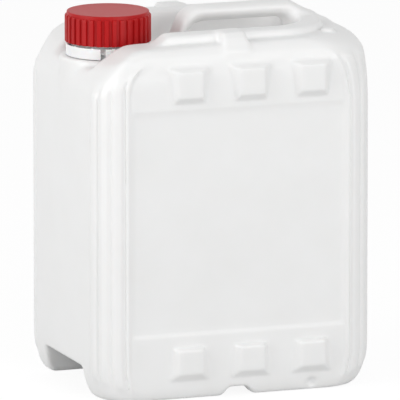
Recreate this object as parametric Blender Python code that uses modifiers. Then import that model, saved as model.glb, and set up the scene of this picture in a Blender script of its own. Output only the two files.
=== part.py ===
"""Stackable ten litre jerrycan: a blow-moulded container with a hollow handle and a threaded neck,
and a push-and-turn closure made of an outer cap, an inner cap, a sealing disc and a tamper ring.

Metres, +Z up. The origin is the middle of the base. The neck stands at -X and the handle runs
along X. The container is symmetric about the plane Y = 0.
"""

import math

import bmesh
import bpy
from mathutils import Matrix, Vector

# Container body
BODY_WIDTH = 0.241
BODY_DEPTH = 0.184
SHOULDER_HEIGHT = 0.2935
WALL = 0.0015
CORNER_RADIUS = 0.0277
END_TOP_RUN = 0.0165
END_TOP_RISE = 0.014
SIDE_TOP_RUN = 0.013
SIDE_TOP_RISE = 0.0235
TOP_CORNER_RADIUS = 0.065
TOP_CORNER_RISE = 0.040
NECK_END_FOOT_RUN = 0.011
GRIP_END_FOOT_RUN = 0.016
END_FOOT_RISE = 0.035
SIDE_FOOT_RUN = 0.004
SIDE_FOOT_RISE = 0.0125

# Slopes over the neck end, each an angle and how far below the shoulder it starts at the end face:
# two of the shoulder and the one where the rails begin
STEEP_SLOPE_ANGLE = math.radians(35.4)
STEEP_SLOPE_DROP = 0.0273
GENTLE_SLOPE_ANGLE = math.radians(1.4)
GENTLE_SLOPE_DROP = 0.0042
RAIL_RAMP_ANGLE = math.radians(38.9)
RAIL_RAMP_DROP = 0.0504
SLOPE_RIM_END_RUN = 0.0177
SLOPE_RIM_SIDE_RUN = 0.0025
SLOPE_RIM_RISE = 0.0195

# Valley between the rails
VALLEY_DEPTH = 0.0235
VALLEY_SIDE_ROOM = 0.0097
VALLEY_DRAFT = 0.004
VALLEY_FOOT_RADIUS = 0.006
VALLEY_END_MARGIN = 0.0405
VALLEY_END_RADIUS = 0.037

# Raised platform that the valley divides into two stacking rails
PLATFORM_RISE = 0.005
PLATFORM_SIDE_MARGIN = 0.0205
PLATFORM_NECK_MARGIN = 0.0445
PLATFORM_GRIP_MARGIN = 0.0205
PLATFORM_BOW = 0.050
PLATFORM_CORNER = 0.008
PLATFORM_EDGE_RADIUS = 0.004
PLATFORM_ROOT = 0.012

# Stacking lugs on the long edges, studs on the shoulder, and the notches and pockets that match them
LUG_WIDTH = 0.0215
LUG_RISE = 0.002
LUG_CREST_MARGIN = 0.0075
LUG_REACH_MARGIN = 0.0023
LUG_SHELF_MARGIN = 0.0085
LUG_DROP = 0.0155
LUG_TOE = 0.0068
LUG_SLOPE = 0.004
LUG_EDGE_RADIUS = 0.0015
STUD_END_MARGIN = 0.0317
STUD_SIDE_MARGIN = 0.0295
STUD_RADIUS = 0.0058
STUD_RISE = 0.0022
STUD_EDGE = 0.0012
NOTCH_WIDTH = 0.028
NOTCH_TOP_WIDTH = 0.015
NOTCH_HEIGHT = 0.0075
POCKET_MARGIN = 0.0237
POCKET_OUT = 0.0025
POCKET_HEIGHT = 0.0055
POCKET_RADIUS = 0.006

# Handle
HANDLE_RISE = 0.017
HANDLE_HALF_WIDTH = 0.0125
HANDLE_NECK_GAP = 0.0055
HANDLE_LEG_LEAN = math.radians(23)
HANDLE_BEND_RADIUS = 0.020
HANDLE_CROWN = 0.005
RAMP_START_MARGIN = 0.0433
RAMP_END_MARGIN = 0.0115
RAMP_DROP = 0.0185
RAMP_BEND_RADIUS = 0.012
RAMP_TOE_MARGIN = 0.003
RAMP_TOE_RISE = 0.008
GRIP_DROP = 0.0145
GRIP_LEG_THICKNESS = 0.0152
GRIP_END_MARGIN = 0.051
GRIP_END_LEAN = math.radians(18)
GRIP_BEND_RADIUS = 0.011
GRIP_END_RADIUS = 0.005
GRIP_FLARE = 0.0065
HANDLE_ROOT = 0.006

# Pads on the wide faces
PAD_COUNT = 3
PADS_END_MARGIN = 0.0395
PAD_OFFSET = 0.0099
PAD_GAP = 0.0183
PAD_TAPER = 0.0069
PAD_HEIGHT = 0.0295
PAD_BEVEL = 0.0083
PAD_PROUD = 0.006
PAD_ROOT = 0.002
UPPER_PADS_DROP = 0.031
LOWER_PADS_MIDDLE = 0.0295

# Label panel and corner flutes
PANEL_END_MARGIN = 0.0285
PANEL_LOW = 0.0500
PANEL_DROP = 0.053
PANEL_DEPTH = 0.0008
FLUTE_ANGLES = tuple(math.radians(angle) for angle in (15.5, 40, 64.5, 82.5))
FLUTE_HALF_WIDTHS = (0.0052, 0.0052, 0.0052, 0.0017)
FLUTE_HALF_DEPTH = 0.0022
FLUTE_PROUD = 0.0009
FLUTE_LOW = 0.025
FLUTE_LOW_STEP = 0.005
FLUTE_SIDES = 12
FLUTE_STEPS = 12
NECK_FLUTE_DROP = 0.003
GRIP_FLUTE_DROP = 0.0115

# Recesses under the base: room for the cap and handle of the can below, and for its rails
CHANNEL_HEIGHT = 0.0235
CHANNEL_SIDE_ROOM = 0.010
CHANNEL_FLARE = 0.0035
CHANNEL_EDGE_RADIUS = 0.004
RAIL_RECESS_HEIGHT = 0.007
RAIL_RECESS_SIDE_ROOM = 0.0035
RAIL_RECESS_NECK_MARGIN = 0.0505
RECESS_GRIP_MARGIN = 0.0325
RECESS_CORNER = 0.012

# Neck
COLLAR_INSET = 0.0002
BORE_RADIUS = 0.0255
NECK_WALL = 0.0024
NECK_LIP_RADIUS = 0.0008
COLLAR_RADIUS = 0.0398
COLLAR_RISE = 0.004
COLLAR_DEPTH = 0.030
COLLAR_EDGE = 0.0015
BEAD_PROUD = 0.0033
BEAD_RISE = 0.0042
BEAD_HEIGHT = 0.0024
THREAD_PITCH = 0.006
BEAD_TO_THREAD = 0.0074
THREAD_TURNS = 1.9
THREAD_TO_LIP = 0.0031
THREAD_HEIGHT = 0.0020
THREAD_ROOT_WIDTH = 0.0028
THREAD_CREST_WIDTH = 0.0012
THREAD_SINK = 0.0004
THREAD_RUNOUT_TURN = 0.12

# Tamper ring
RING_WALL = 0.0013
RING_SEAT_GAP = 0.0006
RING_HEIGHT = 0.009
HOOK_RISE = 0.0006
HOOK_CLEARANCE = 0.0008
BEAD_CLEARANCE = 0.0007
RING_SIDE_STEP = 0.001
RING_SLOT_WIDTH = 0.0042
RING_SLOT_ANGLE = math.radians(243.6)
BRIDGE_COUNT = 12
BRIDGE_WIDTH = 0.0020
BRIDGE_RISE = 0.0005

# Caps
CAP_PLATE = 0.0016
CAP_EDGE_RADIUS = 0.0008
CAP_BAND = 0.0037
CAP_FOOT_GAP = 0.0001
CAP_WALL = 0.0012
RIB_COUNT = 34
RIB_DEPTH = 0.0016
RIB_BEVEL = 0.0008
GROOVE_WIDTH = 0.0026
SNAP_REACH = 0.00075
SNAP_HEIGHT = 0.0016
SNAP_CLEARANCE = 0.0004
INNER_WALL = 0.0016
INNER_PLATE = 0.0016
SHELL_CLEARANCE = 0.0005
INNER_FLANGE = 0.0008
SKIRT_GAP = 0.0008
LUG_COUNT = 6
PRESS_LUG_RISE = 0.0012
PRESS_LUG_WIDTH = 0.0030
PRESS_LUG_LENGTH = 0.0060
PRESS_LUG_EDGE_MARGIN = 0.0035
PRESS_LUG_GAP = 0.0002
PRESS_TRAVEL = 0.0013
CAP_THREAD_TURNS = 1.2
THREAD_CLEARANCE = 0.0005
THREAD_FLANK_GAP = 0.0003
THREAD_TIP_GAP = 0.0007
DISC_THICKNESS = 0.0015
DISC_SIDE_GAP = 0.0014
SEAT_GAP = 0.0003

OVERRUN = 0.004
ARC_STEPS = 5
ROUND_STEPS = 48
RUNOUT_SHARE = 0.15
MERGE_DISTANCE = 0.00001

# Across the closure: each piece lies round the one inside it, with its clearance
NECK_RADIUS = BORE_RADIUS + NECK_WALL
BEAD_RADIUS = NECK_RADIUS + BEAD_PROUD
INNER_BORE = NECK_RADIUS + THREAD_HEIGHT + THREAD_TIP_GAP
INNER_RADIUS = INNER_BORE + INNER_WALL
CAP_BORE_RADIUS = INNER_RADIUS + SHELL_CLEARANCE
CAP_RADIUS = CAP_BORE_RADIUS + CAP_WALL + RIB_DEPTH
RING_RADIUS = CAP_RADIUS - RING_SIDE_STEP
SNAP_RADIUS = CAP_BORE_RADIUS - SNAP_REACH
DISC_RADIUS = INNER_BORE - DISC_SIDE_GAP
PRESS_LUG_MIDDLE = BORE_RADIUS - PRESS_LUG_EDGE_MARGIN

# Up the closure, from the collar to the top of the cap
VALLEY_FLOOR = SHOULDER_HEIGHT - VALLEY_DEPTH
COLLAR_HEIGHT = VALLEY_FLOOR + COLLAR_RISE
COLLAR_ROOT = COLLAR_HEIGHT - COLLAR_DEPTH
BEAD_LOW = COLLAR_HEIGHT + BEAD_RISE
BEAD_HIGH = BEAD_LOW + BEAD_HEIGHT
THREAD_LOW = BEAD_HIGH + BEAD_TO_THREAD
NECK_HEIGHT = THREAD_LOW + THREAD_TURNS * THREAD_PITCH + THREAD_TO_LIP
RING_LOW = COLLAR_HEIGHT + RING_SEAT_GAP
RING_HIGH = RING_LOW + RING_HEIGHT
HOOK_LOW = RING_LOW + HOOK_RISE
HOOK_HIGH = BEAD_LOW - HOOK_CLEARANCE
DISC_LOW = NECK_HEIGHT + SEAT_GAP
INNER_PLATE_LOW = DISC_LOW + DISC_THICKNESS + SEAT_GAP
INNER_TOP = INNER_PLATE_LOW + INNER_PLATE
INNER_SKIRT_LOW = RING_HIGH + BRIDGE_RISE + SKIRT_GAP
CAP_TOP = INNER_TOP + PRESS_TRAVEL + PRESS_LUG_RISE + PRESS_LUG_GAP + CAP_PLATE
CAP_LOW = RING_HIGH + BRIDGE_RISE + PRESS_TRAVEL + CAP_FOOT_GAP

# Along the can, from its two end faces
NECK_X = COLLAR_RADIUS + COLLAR_INSET - BODY_WIDTH / 2
VALLEY_END = BODY_WIDTH / 2 - VALLEY_END_MARGIN
PLATFORM_NECK_END = PLATFORM_NECK_MARGIN - BODY_WIDTH / 2
PLATFORM_REACH = BODY_WIDTH / 2 - PLATFORM_GRIP_MARGIN
PLATFORM_SPRING = PLATFORM_REACH - PLATFORM_BOW
STUD_X = BODY_WIDTH / 2 - STUD_END_MARGIN
HANDLE_LEG_X = NECK_X + COLLAR_RADIUS + HANDLE_NECK_GAP
RAMP_START = BODY_WIDTH / 2 - RAMP_START_MARGIN
RAMP_END = BODY_WIDTH / 2 - RAMP_END_MARGIN
RAMP_TOE = BODY_WIDTH / 2 - RAMP_TOE_MARGIN
GRIP_LEG_X = HANDLE_LEG_X + GRIP_LEG_THICKNESS
GRIP_END = BODY_WIDTH / 2 - GRIP_END_MARGIN
PAD_SPACING = (BODY_WIDTH - 2 * PADS_END_MARGIN) / PAD_COUNT
PAD_WIDE_EDGE = PAD_SPACING - PAD_GAP
PAD_NARROW_EDGE = PAD_WIDE_EDGE - PAD_TAPER
PAD_FACE = PAD_NARROW_EDGE - PAD_BEVEL
PANEL_HALF_WIDTH = BODY_WIDTH / 2 - PANEL_END_MARGIN
RAIL_RECESS_NECK_END = RAIL_RECESS_NECK_MARGIN - BODY_WIDTH / 2
RECESS_END = BODY_WIDTH / 2 - RECESS_GRIP_MARGIN
POCKET_X = RECESS_END - POCKET_MARGIN

# Across the can
VALLEY_HALF_WIDTH = COLLAR_RADIUS + VALLEY_SIDE_ROOM
PLATFORM_HALF_WIDTH = BODY_DEPTH / 2 - PLATFORM_SIDE_MARGIN
LUG_CREST = BODY_DEPTH / 2 - LUG_CREST_MARGIN
LUG_REACH = BODY_DEPTH / 2 - LUG_REACH_MARGIN
LUG_SHELF = BODY_DEPTH / 2 - LUG_SHELF_MARGIN
STUD_Y = BODY_DEPTH / 2 - STUD_SIDE_MARGIN
CHANNEL_HALF_WIDTH = CAP_RADIUS + CHANNEL_SIDE_ROOM
RAIL_RECESS_HALF_WIDTH = PLATFORM_HALF_WIDTH + RAIL_RECESS_SIDE_ROOM

# Up the can, from its shoulder
STEEP_SLOPE = (STEEP_SLOPE_ANGLE, SHOULDER_HEIGHT - STEEP_SLOPE_DROP)
GENTLE_SLOPE = (GENTLE_SLOPE_ANGLE, SHOULDER_HEIGHT - GENTLE_SLOPE_DROP)
RAIL_RAMP = (RAIL_RAMP_ANGLE, SHOULDER_HEIGHT - RAIL_RAMP_DROP)
HANDLE_HEIGHT = SHOULDER_HEIGHT + HANDLE_RISE
RAMP_LOW = HANDLE_HEIGHT - RAMP_DROP
RAMP_TOE_HEIGHT = VALLEY_FLOOR + RAMP_TOE_RISE
GRIP_HEIGHT = HANDLE_HEIGHT - GRIP_DROP
UPPER_PADS_MIDDLE = SHOULDER_HEIGHT - UPPER_PADS_DROP
PANEL_HIGH = SHOULDER_HEIGHT - PANEL_DROP
GRIP_FLUTE_HIGH = SHOULDER_HEIGHT - GRIP_FLUTE_DROP


def collection_named(name):
    collection = bpy.data.collections.new(name)
    bpy.context.scene.collection.children.link(collection)
    return collection


def plastic(name, colour, roughness):
    material = bpy.data.materials.new(name)
    material.use_nodes = True
    shader = material.node_tree.nodes["Principled BSDF"]
    shader.inputs["Base Color"].default_value = (*colour, 1)
    shader.inputs["Roughness"].default_value = roughness
    shader.inputs["Metallic"].default_value = 0
    return material


def add_object(name, mesh, collection, location=(0, 0, 0)):
    thing = bpy.data.objects.new(name, mesh)
    thing.location = location
    collection.objects.link(thing)
    return thing


def finish_mesh(name, shape):
    """Turns a bmesh into a mesh whose faces point out and whose round stretches shade smooth."""
    bmesh.ops.recalc_face_normals(shape, faces=shape.faces)
    mesh = bpy.data.meshes.new(name)
    shape.to_mesh(mesh)
    shape.free()
    mesh.shade_smooth()
    mesh.set_sharp_from_angle(angle=math.radians(35))
    return mesh


def lofted_mesh(name, *lofts):
    """Each loft is a list of rings with equally many points: its skin is closed by its two end rings."""
    shape = bmesh.new()
    for rings in lofts:
        rows = [[shape.verts.new(point) for point in ring] for ring in rings]
        for lower, upper in zip(rows, rows[1:]):
            for index in range(len(lower)):
                following = (index + 1) % len(lower)
                shape.faces.new((lower[index], lower[following], upper[following], upper[index]))
        shape.faces.new(rows[0][::-1])
        shape.faces.new(rows[-1])
    return finish_mesh(name, shape)


def guide(thing):
    """A shape that only cuts or joins the pieces isn't a piece itself."""
    thing.hide_render = True
    thing.display_type = "WIRE"
    return thing


def combine(target, operand, operation):
    modifier = target.modifiers.new(f"{operation.lower()} {operand.name}", "BOOLEAN")
    modifier.operation = operation
    modifier.object = operand
    modifier.solver = "EXACT"


def turned(name, profile, collection, location=(0, 0, 0), closed=False):
    """Screws a profile of (radius, height) points, which runs down its outer side, about the Z axis."""
    count = len(profile)
    edges = [(index, index + 1) for index in range(count - 1)]
    if closed:
        edges.append((count - 1, 0))
    mesh = bpy.data.meshes.new(name)
    mesh.from_pydata([(radius, 0, height) for radius, height in profile], edges, [])
    thing = add_object(name, mesh, collection, location)
    screw = thing.modifiers.new("turn", "SCREW")
    screw.steps = ROUND_STEPS
    screw.render_steps = ROUND_STEPS
    screw.use_merge_vertices = True
    screw.merge_threshold = MERGE_DISTANCE
    return thing


def rounded_outline(corners):
    """Counter-clockwise outline through (x, y, radius) corners, each rounded by an arc of its radius."""
    points = []
    for index, (x, y, radius) in enumerate(corners):
        here = Vector((x, y))
        before = (Vector(corners[index - 1][:2]) - here).normalized()
        after = (Vector(corners[(index + 1) % len(corners)][:2]) - here).normalized()
        if radius == 0:
            points.append((x, y))
            continue
        half_angle = before.angle(after) / 2
        centre = here + (before + after).normalized() * (radius / math.sin(half_angle))
        spoke = here + before * (radius / math.tan(half_angle)) - centre
        side = math.copysign(1, after.cross(before))
        for step in range(ARC_STEPS + 1):
            turn = side * (math.pi - 2 * half_angle) * step / ARC_STEPS
            cosine, sine = math.cos(turn), math.sin(turn)
            points.append((centre.x + cosine * spoke.x - sine * spoke.y,
                           centre.y + sine * spoke.x + cosine * spoke.y))
    return points


def offset_outline(points, distance):
    """Moves each side of a counter-clockwise outline outward by the distance, with mitred corners."""
    moved = []
    for index, point in enumerate(points):
        here = Vector(point)
        arriving = (here - Vector(points[index - 1])).normalized()
        leaving = (Vector(points[(index + 1) % len(points)]) - here).normalized()
        first = Vector((arriving.y, -arriving.x))
        second = Vector((leaving.y, -leaving.x))
        shift = (first + second) * (distance / (1 + first.dot(second)))
        moved.append((here.x + shift.x, here.y + shift.y))
    return moved


def level_rings(outline, stations):
    """Rings of one outline at (height, offset) stations."""
    return [[(x, y, height) for x, y in offset_outline(outline, offset)] for height, offset in stations]


def depth_rings(outline, stations):
    """Rings of one upright outline at (y, offset) stations."""
    return [[(x, depth, z) for x, z in offset_outline(outline, offset)] for depth, offset in stations]


def rolled_edge(height, radius, upward):
    """Stations of a rounded rim, from where it leaves the side wall to where it reaches the flat at height."""
    stations = []
    for step in range(ARC_STEPS + 1):
        angle = math.pi / 2 * step / ARC_STEPS
        drop = radius * (1 - math.sin(angle))
        stations.append((height - upward * drop, -radius * (1 - math.cos(angle))))
    return stations


def drawn_in(distance, run, rise):
    """How far an elliptical edge has drawn in at a distance from the flat where it ends."""
    share = max(0, 1 - distance / rise)
    return run * (1 - math.sqrt(1 - share ** 2))


def body_section(height, inset):
    """Reach towards the neck end, the grip end and the sides, and the corner radius, at a height."""
    above, below = height - inset, SHOULDER_HEIGHT - inset - height
    end = BODY_WIDTH / 2 - inset - drawn_in(below, END_TOP_RUN - inset, END_TOP_RISE - inset)
    neck_end = end - drawn_in(above, NECK_END_FOOT_RUN - inset, END_FOOT_RISE - inset)
    grip_end = end - drawn_in(above, GRIP_END_FOOT_RUN - inset, END_FOOT_RISE - inset)
    side = BODY_DEPTH / 2 - inset - drawn_in(above, SIDE_FOOT_RUN - inset, SIDE_FOOT_RISE - inset)
    side -= drawn_in(below, SIDE_TOP_RUN - inset, SIDE_TOP_RISE - inset)
    radius = CORNER_RADIUS - inset + drawn_in(below, TOP_CORNER_RADIUS - CORNER_RADIUS, TOP_CORNER_RISE)
    return neck_end, grip_end, side, min(radius, side - WALL)


def body_rings(inset):
    """Rounded rectangles up the body. The ends draw in more towards the base than the wide sides."""
    shares = [1 - math.cos(math.pi / 2 * step / ARC_STEPS) for step in range(ARC_STEPS + 1)]
    feet = {inset + share * (rise - inset) for share in shares for rise in (END_FOOT_RISE, SIDE_FOOT_RISE)}
    high = SHOULDER_HEIGHT - inset
    tops = {high - share * rise for share in shares for rise in (END_TOP_RISE - inset, TOP_CORNER_RISE)}
    rings = []
    for height in sorted(feet | tops):
        neck_end, grip_end, side, radius = body_section(height, inset)
        outline = rounded_outline([(grip_end, side, radius), (-neck_end, side, radius),
                                   (-neck_end, -side, radius), (grip_end, -side, radius)])
        rings.append([(x, y, height) for x, y in outline])
    return rings


def platform_rings(inset):
    """Flat-topped platform with a half-elliptical end towards +X."""
    outline = rounded_outline([(PLATFORM_SPRING, PLATFORM_HALF_WIDTH, 0),
                               (PLATFORM_NECK_END, PLATFORM_HALF_WIDTH, PLATFORM_CORNER),
                               (PLATFORM_NECK_END, -PLATFORM_HALF_WIDTH, PLATFORM_CORNER),
                               (PLATFORM_SPRING, -PLATFORM_HALF_WIDTH, 0)])
    steps = ARC_STEPS * 3
    for step in range(1, steps):
        angle = math.pi * step / steps - math.pi / 2
        reach = PLATFORM_SPRING + (PLATFORM_REACH - PLATFORM_SPRING) * math.cos(angle)
        outline.append((reach, PLATFORM_HALF_WIDTH * math.sin(angle)))
    outline = offset_outline(outline, -inset)
    high = SHOULDER_HEIGHT + PLATFORM_RISE - inset
    stations = [(SHOULDER_HEIGHT - PLATFORM_ROOT, 0), *rolled_edge(high, PLATFORM_EDGE_RADIUS, 1)]
    return level_rings(outline, stations)


def valley_rings(outset):
    """The space between the rails: open at the neck end, rounded at the handle's end, with drafted walls."""
    outline = rounded_outline([(VALLEY_END, VALLEY_HALF_WIDTH, VALLEY_END_RADIUS),
                               (-BODY_WIDTH / 2 - OVERRUN, VALLEY_HALF_WIDTH, 0),
                               (-BODY_WIDTH / 2 - OVERRUN, -VALLEY_HALF_WIDTH, 0),
                               (VALLEY_END, -VALLEY_HALF_WIDTH, VALLEY_END_RADIUS)])
    outline = offset_outline(outline, outset)
    foot = rolled_edge(VALLEY_FLOOR - outset, VALLEY_FOOT_RADIUS + outset, -1)
    foot = [(height, offset - VALLEY_DRAFT) for height, offset in reversed(foot)]
    return level_rings(outline, [*foot, (SHOULDER_HEIGHT + PLATFORM_RISE, 0), (HANDLE_HEIGHT + OVERRUN, 0)])


def slope_rings(slope, inset):
    """Block under a plane that rises from the neck end, with a rolled rim that follows the plane."""
    angle, start = slope
    radius = CORNER_RADIUS - inset
    start -= inset / math.cos(angle)
    rings = []
    for step in range(ARC_STEPS + 1):
        turn = math.pi / 2 * step / ARC_STEPS
        drop = (SLOPE_RIM_RISE - inset) * (1 - math.sin(turn))
        drawn = 1 - math.cos(turn)
        half_x = BODY_WIDTH / 2 - inset - (SLOPE_RIM_END_RUN - inset) * drawn
        half_y = BODY_DEPTH / 2 - inset - (SLOPE_RIM_SIDE_RUN - inset) * drawn
        outline = rounded_outline([(half_x, half_y, radius), (-half_x, half_y, radius),
                                   (-half_x, -half_y, radius), (half_x, -half_y, radius)])
        if not rings:
            rings.append([(x, y, -OVERRUN) for x, y in outline])
        rings.append([(x, y, start + (x + BODY_WIDTH / 2) * math.tan(angle) - drop) for x, y in outline])
    return rings


def handle_outline():
    lean = math.tan(HANDLE_LEG_LEAN)
    foot = VALLEY_FLOOR - HANDLE_ROOT
    return rounded_outline([(HANDLE_LEG_X, foot, 0), (RAMP_TOE, foot, 0), (RAMP_TOE, RAMP_TOE_HEIGHT, 0),
                            (RAMP_END, RAMP_LOW, RAMP_BEND_RADIUS),
                            (RAMP_START, HANDLE_HEIGHT, RAMP_BEND_RADIUS),
                            (HANDLE_LEG_X + (HANDLE_HEIGHT - foot) * lean, HANDLE_HEIGHT, HANDLE_BEND_RADIUS)])


def grip_outline():
    lean = math.tan(HANDLE_LEG_LEAN)
    end_lean = math.tan(GRIP_END_LEAN)
    foot = VALLEY_FLOOR - HANDLE_ROOT - OVERRUN
    return rounded_outline([(GRIP_LEG_X - OVERRUN * lean, foot, 0),
                            (GRIP_END + (GRIP_HEIGHT - foot) * end_lean, foot, 0),
                            (GRIP_END, GRIP_HEIGHT, GRIP_END_RADIUS),
                            (GRIP_LEG_X + (GRIP_HEIGHT - VALLEY_FLOOR + HANDLE_ROOT) * lean, GRIP_HEIGHT,
                             GRIP_BEND_RADIUS)])


def handle_rings(inset):
    """The handle is thickest at its middle plane and crowned towards its sides."""
    half_width = HANDLE_HALF_WIDTH - inset
    stations = []
    for step in range(-ARC_STEPS, ARC_STEPS + 1):
        share = math.sin(math.pi / 2 * step / ARC_STEPS)
        crown = HANDLE_CROWN * (1 - math.sqrt(1 - share ** 2))
        stations.append((half_width * share, -inset - crown))
    return depth_rings(handle_outline(), stations)


def grip_rings(outset):
    """The finger opening is narrowest at the middle plane and flares towards both sides."""
    reach = HANDLE_HALF_WIDTH + OVERRUN
    flare = GRIP_FLARE * reach / HANDLE_HALF_WIDTH
    return depth_rings(grip_outline(), [(-reach, outset + flare), (0, outset), (reach, outset + flare)])


def lug_rings(inset):
    """Two lugs, flush with the rails, that reach out over the long edges."""
    crest = SHOULDER_HEIGHT + PLATFORM_RISE + LUG_RISE - inset
    inner = PLATFORM_HALF_WIDTH - PLATFORM_EDGE_RADIUS
    low = SHOULDER_HEIGHT - LUG_DROP
    outline = [(inner + inset, low), (LUG_SHELF, low), (LUG_REACH - inset, low + LUG_TOE),
               (LUG_CREST - inset, crest - LUG_SLOPE), (inner + inset, crest)]
    half = LUG_WIDTH / 2 - inset
    stations = [(-half, -LUG_EDGE_RADIUS), (-half + LUG_EDGE_RADIUS, 0),
                (half - LUG_EDGE_RADIUS, 0), (half, -LUG_EDGE_RADIUS)]
    lofts = []
    for side in (1, -1):
        lofts.append([[(x, side * y, z) for y, z in offset_outline(outline, offset)] for x, offset in stations])
    return lofts


def pad_rings(inset):
    """Three pads along each long edge, front and back. Their wide edges lie towards the can's ends."""
    lofts = []
    for side in (1, -1):
        for middle, upward in ((UPPER_PADS_MIDDLE, 1), (LOWER_PADS_MIDDLE, -1)):
            for index in range(PAD_COUNT):
                centre = PAD_OFFSET + (index - (PAD_COUNT - 1) / 2) * PAD_SPACING
                lofts.append(pad_loft(centre, middle, upward, side, inset))
    return lofts


def pad_loft(centre, middle, upward, side, inset):
    wide, narrow, half = PAD_WIDE_EDGE / 2 - inset, PAD_NARROW_EDGE / 2 - inset, PAD_HEIGHT / 2 - inset
    face = PAD_FACE / 2 - inset
    base = [(-narrow, -half), (narrow, -half), (wide, half), (-wide, half)]
    flat = [(-face, -face), (face, -face), (face, face), (-face, face)]
    rings = []
    for outline, depth in ((base, BODY_DEPTH / 2 - inset - PAD_ROOT), (base, BODY_DEPTH / 2 - inset),
                           (flat, BODY_DEPTH / 2 + PAD_PROUD - inset)):
        rings.append([(centre + x, side * depth, middle + upward * z) for x, z in outline])
    return rings


def panel_rings(outset):
    """Shallow label panels in both wide faces."""
    low, high = PANEL_LOW - outset, PANEL_HIGH + outset
    half = PANEL_HALF_WIDTH + outset
    lofts = []
    for side in (1, -1):
        rings = []
        for depth in (BODY_DEPTH / 2 - PANEL_DEPTH - outset, BODY_DEPTH / 2 + OVERRUN):
            corners = ((-half, low), (half, low), (half, high), (-half, high))
            rings.append([(x, side * depth, z) for x, z in corners])
        lofts.append(rings)
    return lofts


def flute_rings():
    """Flat ribs down the four corners. They follow the surface and fade out at both ends."""
    lofts = []
    for index, angle in enumerate(FLUTE_ANGLES):
        for end in (1, -1):
            for side in (1, -1):
                lofts.append(flute_loft(index, angle, end, side))
    return lofts


def flute_loft(index, angle, end, side):
    low, high = FLUTE_LOW - index * FLUTE_LOW_STEP, GRIP_FLUTE_HIGH
    from_end = CORNER_RADIUS * (1 - math.cos(angle))
    slope = STEEP_SLOPE[1] + from_end * math.tan(STEEP_SLOPE[0])
    if end < 0:
        high = slope - NECK_FLUTE_DROP
    rings = []
    for step in range(FLUTE_STEPS + 1):
        turn = math.pi * step / FLUTE_STEPS
        height = (low + high) / 2 - (high - low) / 2 * math.cos(turn)
        neck_end, grip_end, half_depth, radius = body_section(height, 0)
        scale = 1 if 0 < step < FLUTE_STEPS else RUNOUT_SHARE
        reach = radius + FLUTE_PROUD - FLUTE_HALF_DEPTH
        share = drawn_in(slope - height, 1, SLOPE_RIM_RISE) if end < 0 else 0
        end_drawn, side_drawn = SLOPE_RIM_END_RUN * share, SLOPE_RIM_SIDE_RUN * share
        x = end * ((grip_end if end > 0 else neck_end) - radius + reach * math.cos(angle) - end_drawn)
        y = side * (half_depth - radius + reach * math.sin(angle) - side_drawn)
        ring = []
        for corner in range(FLUTE_SIDES):
            turn = math.tau * (corner + 1 / 2) / FLUTE_SIDES
            out = scale * FLUTE_HALF_DEPTH * math.cos(turn)
            along = scale * FLUTE_HALF_WIDTHS[index] * math.sin(turn)
            ring.append((x + end * (out * math.cos(angle) - along * math.sin(angle)),
                         y + side * (out * math.sin(angle) + along * math.cos(angle)), height))
        rings.append(ring)
    return rings


def channel_rings(outset):
    """Channel under the base for the cap and handle of the can below. It opens in the neck end's face."""
    neck_end = -BODY_WIDTH / 2 - OVERRUN
    half = CHANNEL_HALF_WIDTH
    outline = rounded_outline([(RECESS_END, half, RECESS_CORNER), (neck_end, half, 0),
                               (neck_end, -half, 0), (RECESS_END, -half, RECESS_CORNER)])
    outline = offset_outline(outline, outset)
    roof = rolled_edge(CHANNEL_HEIGHT + outset, CHANNEL_EDGE_RADIUS + outset, 1)
    return level_rings(outline, [(-OVERRUN, CHANNEL_FLARE), *roof])


def rail_recess_rings(outset):
    """Shallow recess under the base that takes the rails of the can below."""
    half = RAIL_RECESS_HALF_WIDTH
    outline = rounded_outline([(RECESS_END, half, RECESS_CORNER), (RAIL_RECESS_NECK_END, half, RECESS_CORNER),
                               (RAIL_RECESS_NECK_END, -half, RECESS_CORNER), (RECESS_END, -half, RECESS_CORNER)])
    outline = offset_outline(outline, outset)
    return level_rings(outline, [(-OVERRUN, 0), (RAIL_RECESS_HEIGHT + outset, 0)])


def notch_rings(outset):
    """Notches in the foot of both wide faces, over the lugs of the can below."""
    slope = (NOTCH_WIDTH - NOTCH_TOP_WIDTH) / 2 / NOTCH_HEIGHT
    low_half = NOTCH_WIDTH / 2 + OVERRUN * slope + outset
    high_half = NOTCH_TOP_WIDTH / 2 + outset
    high = NOTCH_HEIGHT + outset
    outline = [(-low_half, -OVERRUN), (low_half, -OVERRUN), (high_half, high), (-high_half, high)]
    inner = RAIL_RECESS_HALF_WIDTH - OVERRUN
    lofts = []
    for side in (1, -1):
        depths = (side * inner, side * (BODY_DEPTH / 2 + OVERRUN))
        lofts.append([[(x, depth, z) for x, z in outline] for depth in depths])
    return lofts


def helix_loft(inner, outer, low, first_turn, turns, root_width, crest_width):
    """Trapezoidal thread ridge about the Z axis, from the root radius to the crest radius, with run-outs."""
    rings = []
    steps = round(turns * ROUND_STEPS)
    for step in range(steps + 1):
        turn = first_turn + turns * step / steps
        from_end = min(step, steps - step) / steps * turns
        share = max(RUNOUT_SHARE, min(1, from_end / THREAD_RUNOUT_TURN))
        crest = inner + (outer - inner) * share
        middle = low + THREAD_PITCH * turn
        angle = 2 * math.pi * turn
        section = ((inner, -root_width / 2), (crest, -crest_width / 2), (crest, crest_width / 2),
                   (inner, root_width / 2))
        rings.append([(radius * math.cos(angle), radius * math.sin(angle), middle + rise)
                      for radius, rise in section])
    return rings


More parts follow.
